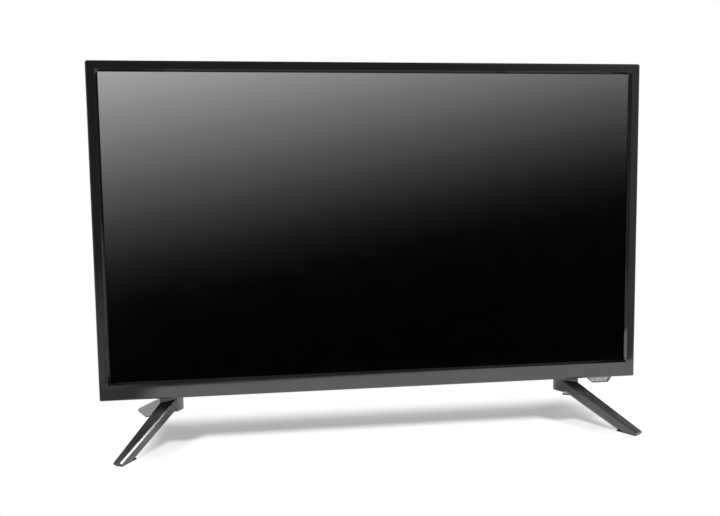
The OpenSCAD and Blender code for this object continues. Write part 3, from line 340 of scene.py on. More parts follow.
@dataclass(frozen=True)
class ScreenFinish(Finish):
    """Dark screen: fine colour stripes inside a black border.

    Args:
        half: Half width of the picture.
        low: Lower edge of the picture.
        high: Upper edge of the picture.
        pixel: Width of one picture point.
        stripes: Tones of the red, green and blue stripe, as shares of the second colour.
    """

    half: float = 0.26
    low: float = 0.064
    high: float = 0.355
    pixel: float = 0.272 * MM
    stripes: tuple[Colour, ...] = ((1.5, 0.9, 0.9), (0.9, 1.4, 0.9), (0.9, 0.9, 1.7))

    def colours(self, graph: Graph, relief: Socket) -> Socket:
        """Lays stripes of dark red, green and blue, with plain black at the border.

        Args:
            graph: The material's nodes.
            relief: The relief's height, which the stripes don't follow.

        Returns:
            The surface's colour.
        """
        x, _, z = graph.split(graph.place())
        stripe = graph.math("FRACT", graph.math("DIVIDE", x, self.pixel))
        ramp = graph.add("ShaderNodeValToRGB", {"Fac": stripe})
        ramp.color_ramp.interpolation = "CONSTANT"
        steps = ramp.color_ramp.elements
        steps[1].position = 1.0 / len(self.stripes)
        for i in range(2, len(self.stripes)):
            steps.new(i / len(self.stripes))
        for step, tone in zip(steps, self.stripes):
            step.color = (*(c * t for c, t in zip(self.second, tone)), 1.0)
        middle = (self.low + self.high) / 2.0
        past_side = graph.math("SUBTRACT", graph.math("ABSOLUTE", x), self.half)
        rise = graph.math("ABSOLUTE", graph.math("SUBTRACT", z, middle))
        past_end = graph.math("SUBTRACT", rise, (self.high - self.low) / 2.0)
        border = graph.math("GREATER_THAN", graph.math("MAXIMUM", past_side, past_end), 0.0)
        return graph.mix(border, ramp.outputs[0], (*self.colour, 1.0))


def grey(tone: float, blue: float = 1.04) -> Colour:
    """Returns a grey of the given tone, with a trace of blue."""
    return (tone, tone, tone * blue)


FINISHES: tuple[Finish, ...] = (
    Finish("bezel_black", grey(0.004), grey(0.006), roughness=(0.045, 0.075),
           grain=Grain.POLISHED, size=14 * MM, depth=0.004 * MM, patch=60 * MM, ior=1.6, specular=1.0),
    Finish("cover_black", grey(0.0185), grey(0.0205), roughness=(0.46, 0.52),
           grain=Grain.SPARK, size=0.8 * MM, depth=0.05 * MM, patch=40 * MM),
    ScreenFinish("screen_glass", grey(0.0003), grey(0.0004), roughness=(0.11, 0.13),
                 grain=Grain.FIBRE, size=0.3 * MM, depth=0.0004 * MM, patch=80 * MM, specular=0.03),
    Finish("black_foam", grey(0.012), grey(0.02), roughness=(0.8, 0.95),
           grain=Grain.SPARK, size=0.5 * MM, depth=0.08 * MM),
    Finish("frame_plastic", grey(0.025), grey(0.032), roughness=(0.4, 0.5),
           grain=Grain.SPARK, size=0.5 * MM, depth=0.02 * MM),
    Finish("optical_film", (0.74, 0.77, 0.79), (0.78, 0.8, 0.82), roughness=(0.2, 0.3),
           grain=Grain.BRUSHED, size=0.3 * MM, depth=0.02 * MM, patch=50 * MM),
    Finish("diffuser_white", (0.84, 0.84, 0.82), (0.87, 0.87, 0.85), roughness=(0.5, 0.6),
           grain=Grain.FIBRE, size=0.5 * MM, depth=0.01 * MM, patch=50 * MM),
    Finish("reflector_white", (0.9, 0.9, 0.89), (0.93, 0.93, 0.92), roughness=(0.5, 0.6),
           grain=Grain.FIBRE, size=0.5 * MM, depth=0.01 * MM, patch=50 * MM),
    Finish("led_board", (0.78, 0.79, 0.76), (0.83, 0.83, 0.8), roughness=(0.35, 0.45),
           grain=Grain.TRACES, size=8 * MM, depth=0.03 * MM),
    Finish("clear_lens", (0.86, 0.89, 0.89), (0.9, 0.92, 0.92), roughness=(0.05, 0.1),
           grain=Grain.POLISHED, size=3 * MM, depth=0.004 * MM, transmission=0.7),
    Finish("pan_steel", (0.5, 0.51, 0.52), (0.6, 0.61, 0.62), roughness=(0.3, 0.45),
           grain=Grain.SPARK, size=9 * MM, depth=0.01 * MM, patch=12 * MM, metallic=1.0),
    Finish("green_board", (0.012, 0.085, 0.035), (0.03, 0.15, 0.06), roughness=(0.3, 0.4),
           grain=Grain.TRACES, size=6 * MM, depth=0.03 * MM),
    Finish("blue_board", (0.01, 0.05, 0.13), (0.03, 0.1, 0.22), roughness=(0.3, 0.4),
           grain=Grain.TRACES, size=7 * MM, depth=0.03 * MM),
    Finish("tan_board", (0.28, 0.17, 0.06), (0.36, 0.24, 0.1), roughness=(0.5, 0.6),
           grain=Grain.TRACES, size=12 * MM, depth=0.03 * MM),
    Finish("amber_film", (0.4, 0.18, 0.025), (0.48, 0.24, 0.05), roughness=(0.25, 0.35),
           grain=Grain.BRUSHED, size=0.5 * MM, depth=0.02 * MM, axis=Axis.Z),
    Finish("chip_black", grey(0.011), grey(0.016), roughness=(0.45, 0.6),
           grain=Grain.SPARK, size=0.3 * MM, depth=0.02 * MM, patch=6 * MM),
    Finish("bare_aluminium", (0.58, 0.59, 0.6), (0.64, 0.65, 0.66), roughness=(0.25, 0.4),
           grain=Grain.BRUSHED, size=0.4 * MM, depth=0.02 * MM, axis=Axis.Z, metallic=1.0),
    Finish("socket_metal", (0.6, 0.6, 0.61), (0.66, 0.66, 0.66), roughness=(0.2, 0.34),
           grain=Grain.BRUSHED, size=0.3 * MM, depth=0.006 * MM, patch=6 * MM, metallic=1.0),
    Finish("socket_black", grey(0.013), grey(0.018), roughness=(0.35, 0.5),
           grain=Grain.SPARK, size=0.4 * MM, depth=0.02 * MM, patch=8 * MM),
    Finish("ferrite", (0.5, 0.37, 0.04), (0.58, 0.45, 0.07), roughness=(0.3, 0.45),
           grain=Grain.FIBRE, size=1 * MM, depth=0.03 * MM),
    Finish("copper_coil", (0.3, 0.1, 0.03), (0.55, 0.24, 0.08), roughness=(0.25, 0.35),
           grain=Grain.WOUND, size=1.1 * MM, depth=0.15 * MM, metallic=1.0),
    Finish("can_sleeve", (0.015, 0.022, 0.055), (0.022, 0.032, 0.075), roughness=(0.25, 0.35),
           grain=Grain.POLISHED, size=3 * MM, depth=0.01 * MM),
    Finish("standoff_brass", (0.6, 0.42, 0.13), (0.66, 0.48, 0.17), roughness=(0.25, 0.35),
           grain=Grain.BRUSHED, size=0.3 * MM, depth=0.01 * MM, metallic=1.0),
    Finish("screw_steel", (0.5, 0.5, 0.51), (0.58, 0.58, 0.57), roughness=(0.22, 0.36),
           grain=Grain.SPARK, size=0.6 * MM, depth=0.008 * MM, patch=4 * MM, metallic=1.0),
    Finish("screw_black", grey(0.035), grey(0.05), roughness=(0.3, 0.42),
           grain=Grain.SPARK, size=0.5 * MM, depth=0.01 * MM, patch=4 * MM, metallic=0.6),
    Finish("lead_white", (0.68, 0.67, 0.63), (0.74, 0.73, 0.69), roughness=(0.4, 0.5),
           grain=Grain.BRUSHED, size=1 * MM, depth=0.1 * MM),
    Finish("lead_red", (0.38, 0.025, 0.025), (0.46, 0.04, 0.035), roughness=(0.35, 0.45),
           grain=Grain.BRUSHED, size=1.5 * MM, depth=0.15 * MM),
    Finish("lead_black", grey(0.018), grey(0.024), roughness=(0.35, 0.45),
           grain=Grain.BRUSHED, size=1.5 * MM, depth=0.15 * MM),
    Finish("speaker_plastic", grey(0.016), grey(0.021), roughness=(0.45, 0.55),
           grain=Grain.SPARK, size=0.6 * MM, depth=0.03 * MM),
    Finish("speaker_metal", (0.28, 0.29, 0.3), (0.34, 0.35, 0.36), roughness=(0.3, 0.45),
           grain=Grain.SPARK, size=2 * MM, depth=0.01 * MM, metallic=1.0),
    Finish("cone_paper", grey(0.013), grey(0.02), roughness=(0.8, 0.9),
           grain=Grain.FIBRE, size=0.5 * MM, depth=0.05 * MM, patch=3 * MM),
    Finish("key_plastic", grey(0.024), grey(0.03), roughness=(0.3, 0.4),
           grain=Grain.SPARK, size=0.4 * MM, depth=0.015 * MM, patch=8 * MM),
    Finish("receiver_lens", (0.3, 0.29, 0.285), (0.62, 0.61, 0.6), roughness=(0.08, 0.14),
           grain=Grain.POLISHED, size=2 * MM, depth=0.03 * MM, patch=4 * MM, transmission=0.75),
    Finish("leg_black", grey(0.034), grey(0.04), roughness=(0.2, 0.24),
           grain=Grain.FIBRE, size=2 * MM, depth=0.002 * MM, patch=15 * MM, specular=1.0),
    Finish("pad_rubber", grey(0.014), grey(0.02), roughness=(0.7, 0.85),
           grain=Grain.SPARK, size=0.5 * MM, depth=0.03 * MM),
)


class Shape:
    """Mesh under construction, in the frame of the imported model."""

    def __init__(self) -> None:
        """Starts with no faces."""
        self.bm = bmesh.new()

    def box(self, low: Sequence[float], high: Sequence[float]) -> None:
        """Adds a block.

        Args:
            low: Lowest corner.
            high: Highest corner.
        """
        size = [b - a for a, b in zip(low, high)]
        middle = [(a + b) / 2.0 for a, b in zip(low, high)]
        matrix = Matrix.Translation(middle) @ Matrix.Diagonal((*size, 1.0))
        bmesh.ops.create_cube(self.bm, size=1.0, matrix=matrix)

    def loop(self, points: Iterable[Spot], frame: Matrix) -> Loop:
        """Adds a loop of points, which are given in a frame of their own."""
        return [self.bm.verts.new(frame @ Vector(point)) for point in points]

    def wall(self, lower: Loop, upper: Loop) -> None:
        """Joins two loops by a band of faces.

        Args:
            lower: One loop.
            upper: The other, with as many points.
        """
        for i in range(len(lower)):
            j = (i + 1) % len(lower)
            self.bm.faces.new((lower[i], lower[j], upper[j], upper[i]))

    def web(self, outer: Loop, inner: Loop) -> None:
        """Closes the flat face between two loops.

        Args:
            outer: The face's own edge.
            inner: The edge of the opening in it.
        """
        edges = []
        for loop in (outer, inner):
            for a, b in zip(loop, loop[1:] + loop[:1]):
                edges.append(self.bm.edges.get((a, b)) or self.bm.edges.new((a, b)))
        bmesh.ops.triangle_fill(self.bm, use_beauty=True, edges=edges)

    def circles(self, profile: Profile, frame: Matrix, segments: int = 32) -> list[Loop]:
        """Turns a profile about an axis, and leaves both its ends open.

        Args:
            profile: Radius and height of each point, from one end to the other.
            frame: Places the axis, which is the frame's own Z.
            segments: Facets round the axis.

        Returns:
            The circle of each point.
        """
        turns = [2.0 * math.pi * i / segments for i in range(segments)]
        made = []
        for radius, height in profile:
            circle = [(radius * math.cos(t), radius * math.sin(t), height) for t in turns]
            made.append(self.loop(circle, frame))
        for lower, upper in zip(made, made[1:]):
            self.wall(lower, upper)
        return made

    def lathe(self, profile: Profile, frame: Matrix) -> None:
        """Adds a turned shape with flat ends.

        Args:
            profile: Radius and height of each point, from one end to the other.
            frame: Places the axis, which is the frame's own Z.
        """
        made = self.circles(profile, frame)
        self.bm.faces.new(list(reversed(made[0])))
        self.bm.faces.new(made[-1])

    def ring(self, profile: Profile, frame: Matrix, segments: int = 32) -> None:
        """Adds a turned shape whose profile is closed, such as a washer or a row of thread ridges."""
        made = self.circles(profile, frame, segments)
        self.wall(made[-1], made[0])

    def mesh(self, name: str) -> bpy.types.Mesh:
        """Closes the construction.

        Args:
            name: Name of the mesh.

        Returns:
            The finished mesh with its faces turned outwards.
        """
        bmesh.ops.recalc_face_normals(self.bm, faces=self.bm.faces)
        made = bpy.data.meshes.new(name)
        self.bm.to_mesh(made)
        self.bm.free()
        return made


def arc(width: float, rise: float, sweep: float, steps: int) -> Profile:
    """Lists the points of an oval arc, which starts beside the oval's middle.

    Args:
        width: Half width of the oval.
        rise: Half height of the oval.
        sweep: Angle of the arc.
        steps: Stretches between the points.

    Returns:
        Offset to the side and height of each point.
    """
    angles = [sweep * i / steps for i in range(steps + 1)]
    return [(width * math.cos(a), rise * math.sin(a)) for a in angles]


class Facing(Enum):
    """Direction of a turned piece's own Z, as a turn in degrees about an axis."""

    BACK = (-90.0, "X")
    FRONT = (90.0, "X")
    RIGHT = (90.0, "Y")
    DOWN = (180.0, "X")

    def frame(self, spot: Sequence[float]) -> Matrix:
        """Returns the frame at a spot whose own Z faces this way."""
        degrees, axis = self.value
        return Matrix.Translation(spot) @ Matrix.Rotation(math.radians(degrees), 4, axis)

    def way(self) -> Vector:
        """Returns the direction itself."""
        return self.frame((0.0, 0.0, 0.0)).col[2].to_3d()


@dataclass(frozen=True)
class CrossScrew:
    """Screw with a low domed head and a cross recess.

    Args:
        shank: Radius of the shank.
        head: Radius of the head.
        rise: Height of the head.
        end: Radius of the shank's end, as a share of the shank.
        taper: Length of the end's taper, as a share of the shank.
        rim: Height of the head's upright rim, as a share of the rise.
        shoulder: Radius and height of the dome's shoulder, as shares of the head and the rise.
        crown: Radius of the flat crown, as a share of the head.
        arm: Half width of the cross's arms, as a share of the head.
        reach: Reach of the arms, as a share of the head.
        deep: Depth of the cross, as a share of the rise.
        draft: Size of the cross's floor, as a share of its mouth.
    """

    shank: float = 1.5 * MM
    head: float = 2.8 * MM
    rise: float = 1.3 * MM
    end: float = 0.3
    taper: float = 0.5
    rim: float = 0.45
    shoulder: tuple[float, float] = (0.93, 0.75)
    crown: float = 0.78
    arm: float = 0.17
    reach: float = 0.62
    deep: float = 0.6
    draft: float = 0.7

    def profile(self, length: float) -> Profile:
        """Lists the screw's outline, from the shank's end to the crown.

        Args:
            length: Length of the shank below the head.

        Returns:
            Radius and height of each point, with the head's seat at 0.
        """
        wide, high = self.shoulder
        return [
            (self.end * self.shank, -length),
            (self.shank, self.taper * self.shank - length),
            (self.shank, 0.0),
            (self.head, 0.0),
            (self.head, self.rim * self.rise),
            (wide * self.head, high * self.rise),
            (self.crown * self.head, self.rise),
        ]

    def cross(self) -> Profile:
        """Lists the outline of the cross.

        Returns:
            Place of each point across the head.
        """
        arm, reach = self.arm * self.head, self.reach * self.head
        quarter = [(reach, -arm), (reach, arm), (arm, arm)]
        turns = ((1, 0), (0, 1), (-1, 0), (0, -1))
        return [(x * c - y * s, x * s + y * c) for c, s in turns for x, y in quarter]

    def put(self, shape: Shape, solid: Box, facing: Facing) -> None:
        """Adds the screw in the place of a plain one.

        Args:
            shape: Takes the screw.
            solid: Lowest and highest corner of the plain screw.
            facing: Where its head faces.
        """
        low, high = solid
        way = facing.way()
        extent = abs(way.dot(high - low))
        frame = facing.frame((low + high) / 2.0 + way * (extent / 2.0 - self.rise))
        made = shape.circles(self.profile(extent - self.rise), frame)
        shape.bm.faces.new(list(reversed(made[0])))
        mouth = shape.loop([(x, y, self.rise) for x, y in self.cross()], frame)
        sunk = self.rise - self.deep * self.rise
        floor = shape.loop([(self.draft * x, self.draft * y, sunk) for x, y in self.cross()], frame)
        shape.web(made[-1], mouth)
        shape.wall(mouth, floor)
        shape.bm.faces.new(floor)


@dataclass(frozen=True)
class Thread:
    """Row of thread ridges on a barrel or in a bore.

    Args:
        radius: Radius of the barrel or bore.
        rise: Height of a ridge: above 0 on a barrel, and below 0 in a bore.
        pitch: Distance between ridges.
        turns: Number of ridges.
        root: Depth of the grooves below the surface.
        seat: Depth of the row's ends below the surface.
    """

    radius: float
    rise: float
    pitch: float
    turns: int
    root: float = 0.02 * MM
    seat: float = 0.1 * MM

    def profile(self) -> Profile:
        """Lists the closed outline of the ridges.

        Returns:
            Radius and height of each point.
        """
        side = math.copysign(1.0, self.rise)
        ends = self.radius - side * self.seat
        points = [(ends, 0.0)]
        for i in range(self.turns):
            points.append((self.radius - side * self.root, i * self.pitch))
            points.append((self.radius + self.rise, (i + 0.5) * self.pitch))
        points.append((ends, self.turns * self.pitch))
        return points


def first_of(links: np.ndarray, point: int) -> int:
    """Follows the links of a point to the first point of its solid, and shortens them on the way.

    Args:
        links: Another point of the same solid for each point; the first one links to itself.
        point: Where to start.

    Returns:
        The first point.
    """
    while links[point] != point:
        links[point] = links[links[point]]
        point = links[point]
    return point


def solids_of(node: bpy.types.Object, same_digits: int = 6, sort_digits: int = 4) -> list[Box]:
    """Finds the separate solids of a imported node.

    Args:
        node: The node's object.
        same_digits: Points that agree to this many decimals are one point.
        sort_digits: Corners that agree to this many decimals sort alike.

    Returns:
        Lowest and highest corner of each solid, in order of X, then Z, then Y.
    """
    mesh = node.data
    points = np.zeros(len(mesh.vertices) * 3)
    mesh.vertices.foreach_get("co", points)
    points = points.reshape(-1, 3)
    _, same = np.unique(np.round(points, same_digits), axis=0, return_inverse=True)
    same = same.ravel()
    links = np.arange(same.max() + 1)
    for face in mesh.polygons:
        first = first_of(links, same[face.vertices[0]])
        for vertex in face.vertices[1:]:
            links[first_of(links, same[vertex])] = first
    groups = np.array([first_of(links, i) for i in same])
    boxes = [(points[groups == g].min(0), points[groups == g].max(0)) for g in np.unique(groups)]
    boxes.sort(key=lambda box: tuple(round(box[0][axis], sort_digits) for axis in (0, 2, 1)))
    return [(Vector(low), Vector(high)) for low, high in boxes]


# How the edges of nodes and of added pieces are softened
WELD_REACH = 0.002 * MM
BEVEL_STEPS = 2
BEVEL_ANGLE = math.radians(35)
NORMAL_WEIGHT = 80
SMOOTH_ANGLE = math.radians(30)
RIDGE_ANGLE = math.radians(20)


@dataclass
class SubAssembly:
    """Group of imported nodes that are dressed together, with the pieces that are added to them.

    Args:
        materials: Material of each slot.
        corner: Width of the bevel on the nodes' edges; 0 leaves them sharp.
        nodes: Nodes with that bevel.
        fine_corner: Width of the bevel on the finer nodes' edges.
        fine_nodes: Nodes with the finer bevel.
    """

    frame: dict
    materials: dict[str, bpy.types.Material]
    corner: float = 0.3 * MM
    nodes: tuple[str, ...] = ()
    fine_corner: float = 0.0
    fine_nodes: tuple[str, ...] = ()

    def slot_of(self, node: str) -> str:
        """Returns the material slot that the record gives a node."""
        return next(s["material_slot"] for s in self.frame["record"]["subparts"] if s["node"] == node)

    def solids(self, node: str) -> list[Box]:
        """Returns the lowest and highest corner of each solid of a node."""
        return solids_of(self.frame["nodes"][node])

    def dress_node(self, name: str, corner: float) -> None:
        """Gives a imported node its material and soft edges.

        Args:
            name: The node.
            corner: Width of the bevel; 0 leaves the edges as they are.
        """
        node = self.frame["nodes"][name]
        node.data.materials.clear()
        node.data.materials.append(self.materials[self.slot_of(name)])
        weld = node.modifiers.new("weld", "WELD")
        weld.merge_threshold = WELD_REACH
        if corner > 0.0:
            bevel = node.modifiers.new("edges", "BEVEL")
            bevel.width = corner
            bevel.segments = BEVEL_STEPS
            bevel.limit_method = "ANGLE"
            bevel.angle_limit = BEVEL_ANGLE
            bevel.use_clamp_overlap = True
            bevel.harden_normals = False
        node.data.polygons.foreach_set("use_smooth", [True] * len(node.data.polygons))
        smooth = node.modifiers.new("normals", "WEIGHTED_NORMAL")
        smooth.keep_sharp = False
        smooth.weight = NORMAL_WEIGHT
        LOG.info("dressed %s", name)

    def add(self, name: str, shape: Shape, slot: str, body: str = ROOT, smooth: float = SMOOTH_ANGLE,
            instead_of: Iterable[str] = ()) -> None:
        """Adds a piece that rides on a body.

        Args:
            name: Name of the piece.
            shape: Its finished construction.
            slot: Material slot of its finish.
            body: Body that carries it.
            smooth: Edges flatter than this angle are smoothed.
            instead_of: Nodes that it stands for.
        """
        mesh = shape.mesh(name)
        mesh.polygons.foreach_set("use_smooth", [True] * len(mesh.polygons))
        mesh.set_sharp_from_angle(angle=smooth)
        piece = bpy.data.objects.new(name, mesh)
        bpy.context.scene.collection.objects.link(piece)
        mesh.materials.append(self.materials[slot])
        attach(piece, body)
        for node in instead_of:
            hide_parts(node)
        LOG.info("added %s with %d faces", name, len(mesh.polygons))

    def build(self) -> None:
        """Adds the group's own pieces; a plain group has none."""

    def dress(self) -> None:
        """Dresses each node of the group, the finer ones last.

        The pieces that the group adds have their finish already.
        """
        for name in self.nodes:
            self.dress_node(name, self.corner)
        for name in self.fine_nodes:
            self.dress_node(name, self.fine_corner)


@dataclass
class FrontFrame(SubAssembly):
    """Gloss frame round the screen and its bottom bar."""

    corner: float = 0.25 * MM
    nodes: tuple[str, ...] = ("bezel_frame", "bezel_bottom_bar")


@dataclass
class ScreenModule(SubAssembly):
    """Screen, its backlight and the boards that drive it."""

    corner: float = 0.0
    nodes: tuple[str, ...] = (
        "lcd_panel", "panel_gasket", "middle_frame", "prism_sheet", "diffuser_sheet", "diffuser_plate",
        "reflector_sheet", "diffuser_posts", "led_strips", "led_lenses", "backlight_pan",
        "driver_board", "driver_flexes", "lvds_ribbon",
    )


@dataclass
class Boards(SubAssembly):
    """Main and power boards, with what stands on them and the inner leads.

    Args:
        screw: Screw of the boards.
        key_side: X from which on the screws are the key board's, which face the front.
    """

    corner: float = 0.15 * MM
    nodes: tuple[str, ...] = (
        "main_board", "board_chips", "heat_sink", "power_board", "transformer", "capacitors",
        "power_heat_sink", "line_filter", "board_standoffs", "backlight_lead", "power_lead",
        "speaker_leads", "signal_leads",
    )
    screw: CrossScrew = CrossScrew()
    key_side: float = 0.23

    def build(self) -> None:
        """Adds screws with cross recesses in place of the plain ones."""
        shape = Shape()
        for low, high in self.solids("board_screws"):
            on_keys = (low.x + high.x) / 2.0 >= self.key_side
            self.screw.put(shape, (low, high), Facing.FRONT if on_keys else Facing.BACK)
        self.add("board_screw_set", shape, "screw_steel", instead_of=("board_screws",))


@dataclass(frozen=True)
class ContactRow:
    """Contacts on the tongue of one kind of socket.

    Args:
        node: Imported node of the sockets.
        count: Contacts on each face of the tongue.
        tongue: Thickness of the tongue.
    """

    node: str
    count: int
    tongue: float


@dataclass
class Sockets(SubAssembly):
    """Sockets in the side walls and the mains inlet.

    Args:
        rows: Contacts of the picture and data sockets.
        contact_rise: Height of a contact above its tongue.
        contact_sunk: Depth of its foot in the tongue.
        contact_share: Width of a contact, as a share of the pitch.
        contact_ends: Distance of a contact's two ends from the socket's mouth.
        tongue_half: Half width of the tongue.
        aerial: Thread of the aerial's barrel.
        aerial_start: Distance of the thread from the barrel's end.
        pin: Radius and height of a mains pin's outline.
        pin_spread: Distance of a pin from the inlet's middle.
        pin_depth: Distance of a pin's foot from the inlet's mouth.
    """

    corner: float = 0.2 * MM
    nodes: tuple[str, ...] = ("tuner", "hdmi_sockets", "usb_socket", "audio_jacks", "ac_inlet")
    rows: tuple[ContactRow, ...] = (
        ContactRow("hdmi_sockets", count=9, tongue=1.2 * MM),
        ContactRow("usb_socket", count=4, tongue=1.8 * MM),
    )
    contact_rise: float = 0.12 * MM
    contact_sunk: float = 0.05 * MM
    contact_share: float = 0.55
    contact_ends: tuple[float, float] = (2.6 * MM, 9.5 * MM)
    tongue_half: float = 5.0 * MM
    aerial: Thread = Thread(radius=4.75 * MM, rise=0.22 * MM, pitch=0.8 * MM, turns=9)
    aerial_start: float = 0.5 * MM
    pin: Profile = (
        (1.26 * MM, 0.0), (1.26 * MM, 9.4 * MM), (1.1 * MM, 9.9 * MM), (0.6 * MM, 10.3 * MM),
    )
    pin_spread: float = 4.3 * MM
    pin_depth: float = 12.0 * MM

    def strips(self, shape: Shape, solid: Box, row: ContactRow) -> None:
        """Adds contact strips on both faces of a socket's tongue.

        Args:
            shape: Takes the strips.
            solid: Lowest and highest corner of the socket.
            row: Contacts of this kind of socket.
        """
        low, high = solid
        middle = (low + high) / 2.0
        pitch = 2.0 * self.tongue_half / row.count
        half = self.contact_share * pitch / 2.0
        start, end = (low.x + distance for distance in self.contact_ends)
        for i in range(row.count):
            z = middle.z - self.tongue_half + (i + 0.5) * pitch
            for side in (-1.0, 1.0):
                face = middle.y + side * row.tongue / 2.0
                near, far = sorted((face - side * self.contact_sunk, face + side * self.contact_rise))
                shape.box((start, near, z - half), (end, far, z + half))

    def contacts(self) -> None:
        """Adds the contacts of all sockets as one piece."""
        shape = Shape()
        for row in self.rows:
            for solid in self.solids(row.node):
                self.strips(shape, solid, row)
        self.add("socket_contacts", shape, "standoff_brass")

    def thread(self) -> None:
        """Adds the thread on the aerial's barrel."""
        low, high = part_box("tuner")
        middle = (low + high) / 2.0
        frame = Facing.RIGHT.frame((low.x + self.aerial_start, middle.y, middle.z))
        shape = Shape()
        shape.ring(self.aerial.profile(), frame)
        self.add("aerial_thread", shape, "socket_metal", smooth=RIDGE_ANGLE)

    def pins(self) -> None:
        """Adds the two pins in the mains inlet."""
        low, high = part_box("ac_inlet")
        middle = (low + high) / 2.0
        shape = Shape()
        for side in (-1.0, 1.0):
            spot = (high.x - self.pin_depth, middle.y, middle.z + side * self.pin_spread)
            shape.lathe(self.pin, Facing.RIGHT.frame(spot))
        self.add("mains_pins", shape, "socket_metal")

    def build(self) -> None:
        """Adds contact strips, the aerial barrel's thread and mains pins."""
        self.contacts()
        self.thread()
        self.pins()


@dataclass
class Speakers(SubAssembly):
    """Speaker boxes, their drivers and the cones that move in them.

    Args:
        cone_sink: Depth of a cone's floor below its edge.
        cap_radius: Radius of the dust cap.
        cap_rise: Height of the dust cap.
        cap_sweep: Angle from the cap's edge to its flat top.
        cap_steps: Bands of the cap.
        roll_radius: Radius of the roll along the cone's edge.
        roll_steps: Bands of the roll.
        roll_facets: Facets round the roll.
    """

    corner: float = 0.4 * MM
    nodes: tuple[str, ...] = (
        "left_speaker_box", "right_speaker_box", "left_speaker_driver", "right_speaker_driver",
    )
    fine_nodes: tuple[str, ...] = ("left_speaker_cone", "right_speaker_cone")
    cone_sink: float = 2.4 * MM
    cap_radius: float = 4.6 * MM
    cap_rise: float = 1.5 * MM
    cap_sweep: float = math.radians(88.2)
    cap_steps: int = 6
    roll_radius: float = 0.45 * MM
    roll_steps: int = 8
    roll_facets: int = 48

    def build(self) -> None:
        """Adds a dust cap and a roll edge to each cone, which move with it."""
        cap = arc(self.cap_radius, self.cap_rise, self.cap_sweep, self.cap_steps)
        roll = arc(self.roll_radius, self.roll_radius, math.pi, self.roll_steps)
        for cone in self.fine_nodes:
            low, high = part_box(cone)
            middle = (low + high) / 2.0
            frame = Facing.BACK.frame((middle.x, high.y, middle.z))
            edge = (high.x - low.x) / 2.0 - self.roll_radius
            shape = Shape()
            shape.lathe([(radius, height - self.cone_sink) for radius, height in cap], frame)
            shape.ring([(edge + side, height) for side, height in roll], frame, self.roll_facets)
            name = cone.replace("speaker_cone", "cone_trim")
            self.add(name, shape, "speaker_plastic", body=cone + "_body")


@dataclass
class RearCover(SubAssembly):
    """Rear cover, its screws and the wall mount's posts.

    Args:
        screw: Screw of the cover.
        thread: Thread in a post's bore.
        thread_start: Distance of the thread from the post's end.
        thread_facets: Facets round the thread.
    """

    corner: float = 0.7 * MM
    nodes: tuple[str, ...] = ("rear_cover",)
    fine_corner: float = 0.4 * MM
    fine_nodes: tuple[str, ...] = ("vesa_posts",)
    screw: CrossScrew = CrossScrew()
    thread: Thread = Thread(radius=2.0 * MM, rise=-0.24 * MM, pitch=0.7 * MM, turns=16)
    thread_start: float = 0.5 * MM
    thread_facets: int = 24

    def build(self) -> None:
        """Adds screws with cross recesses and the thread inside the wall mount's posts."""
        screws = Shape()
        for solid in self.solids("cover_screws"):
            self.screw.put(screws, solid, Facing.BACK)
        self.add("cover_screw_set", screws, "screw_black", instead_of=("cover_screws",))
        threads = Shape()
        for low, high in self.solids("vesa_posts"):
            middle = (low + high) / 2.0
            frame = Facing.FRONT.frame((middle.x, high.y - self.thread_start, middle.z))
            threads.ring(self.thread.profile(), frame, self.thread_facets)
        self.add("wall_mount_threads", threads, "screw_steel", smooth=RIDGE_ANGLE)


@dataclass
class Keys(SubAssembly):
    """Keys on the back, their board and switches."""

    corner: float = 0.5 * MM
    nodes: tuple[str, ...] = (
        "power_button", "source_button", "menu_button", "channel_up_button", "channel_down_button",
        "volume_up_button", "volume_down_button",
    )
    fine_corner: float = 0.1 * MM
    fine_nodes: tuple[str, ...] = ("key_board", "key_switches")


@dataclass
class Receiver(SubAssembly):
    """Receiver lens under the bottom bar and the board above it."""

    corner: float = 0.6 * MM
    nodes: tuple[str, ...] = ("ir_lens",)
    fine_corner: float = 0.1 * MM
    fine_nodes: tuple[str, ...] = ("ir_board",)


@dataclass
class Stand(SubAssembly):
    """Legs, their pads, screws and inner brackets.

    Args:
        screw: Screw of the legs.
    """

    nodes: tuple[str, ...] = ("left_leg", "right_leg", "foot_pads", "stand_brackets")
    screw: CrossScrew = CrossScrew(shank=2.0 * MM, head=3.8 * MM, rise=2.6 * MM)

    def build(self) -> None:
        """Adds leg screws with cross recesses in place of the plain ones."""
        shape = Shape()
        for solid in self.solids("leg_screws"):
            self.screw.put(shape, solid, Facing.DOWN)
        self.add("leg_screw_set", shape, "screw_steel", instead_of=("leg_screws",))


class Along(Enum):
    """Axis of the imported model's frame."""

    X = 0
    Y = 1
    Z = 2


@dataclass(frozen=True)
class Ramp:
    """Level that eases from one value to another along an axis.

    Args:
        along: The axis.
        start: Where the level starts to change.
        end: Where it stops.
        before: Level up to the start.
        after: Level from the end on.
    """

    along: Along
    start: float
    end: float
    before: float
    after: float

    def level(self, graph: Graph, spot: Sequence[Socket]) -> Socket:
        """Returns the level at a spot, which is given by its three parts."""
        place = spot[self.along.value]
        return graph.spread(place, self.before, self.after, self.start, self.end, smooth=True)


Patch = tuple[Ramp, ...]


def patch_level(patch: Patch, graph: Graph, spot: Sequence[Socket]) -> Value:
    """Returns the product of a patch's ramps at a spot, which is given by its three parts."""
    return graph.chain("MULTIPLY", [ramp.level(graph, spot) for ramp in patch])


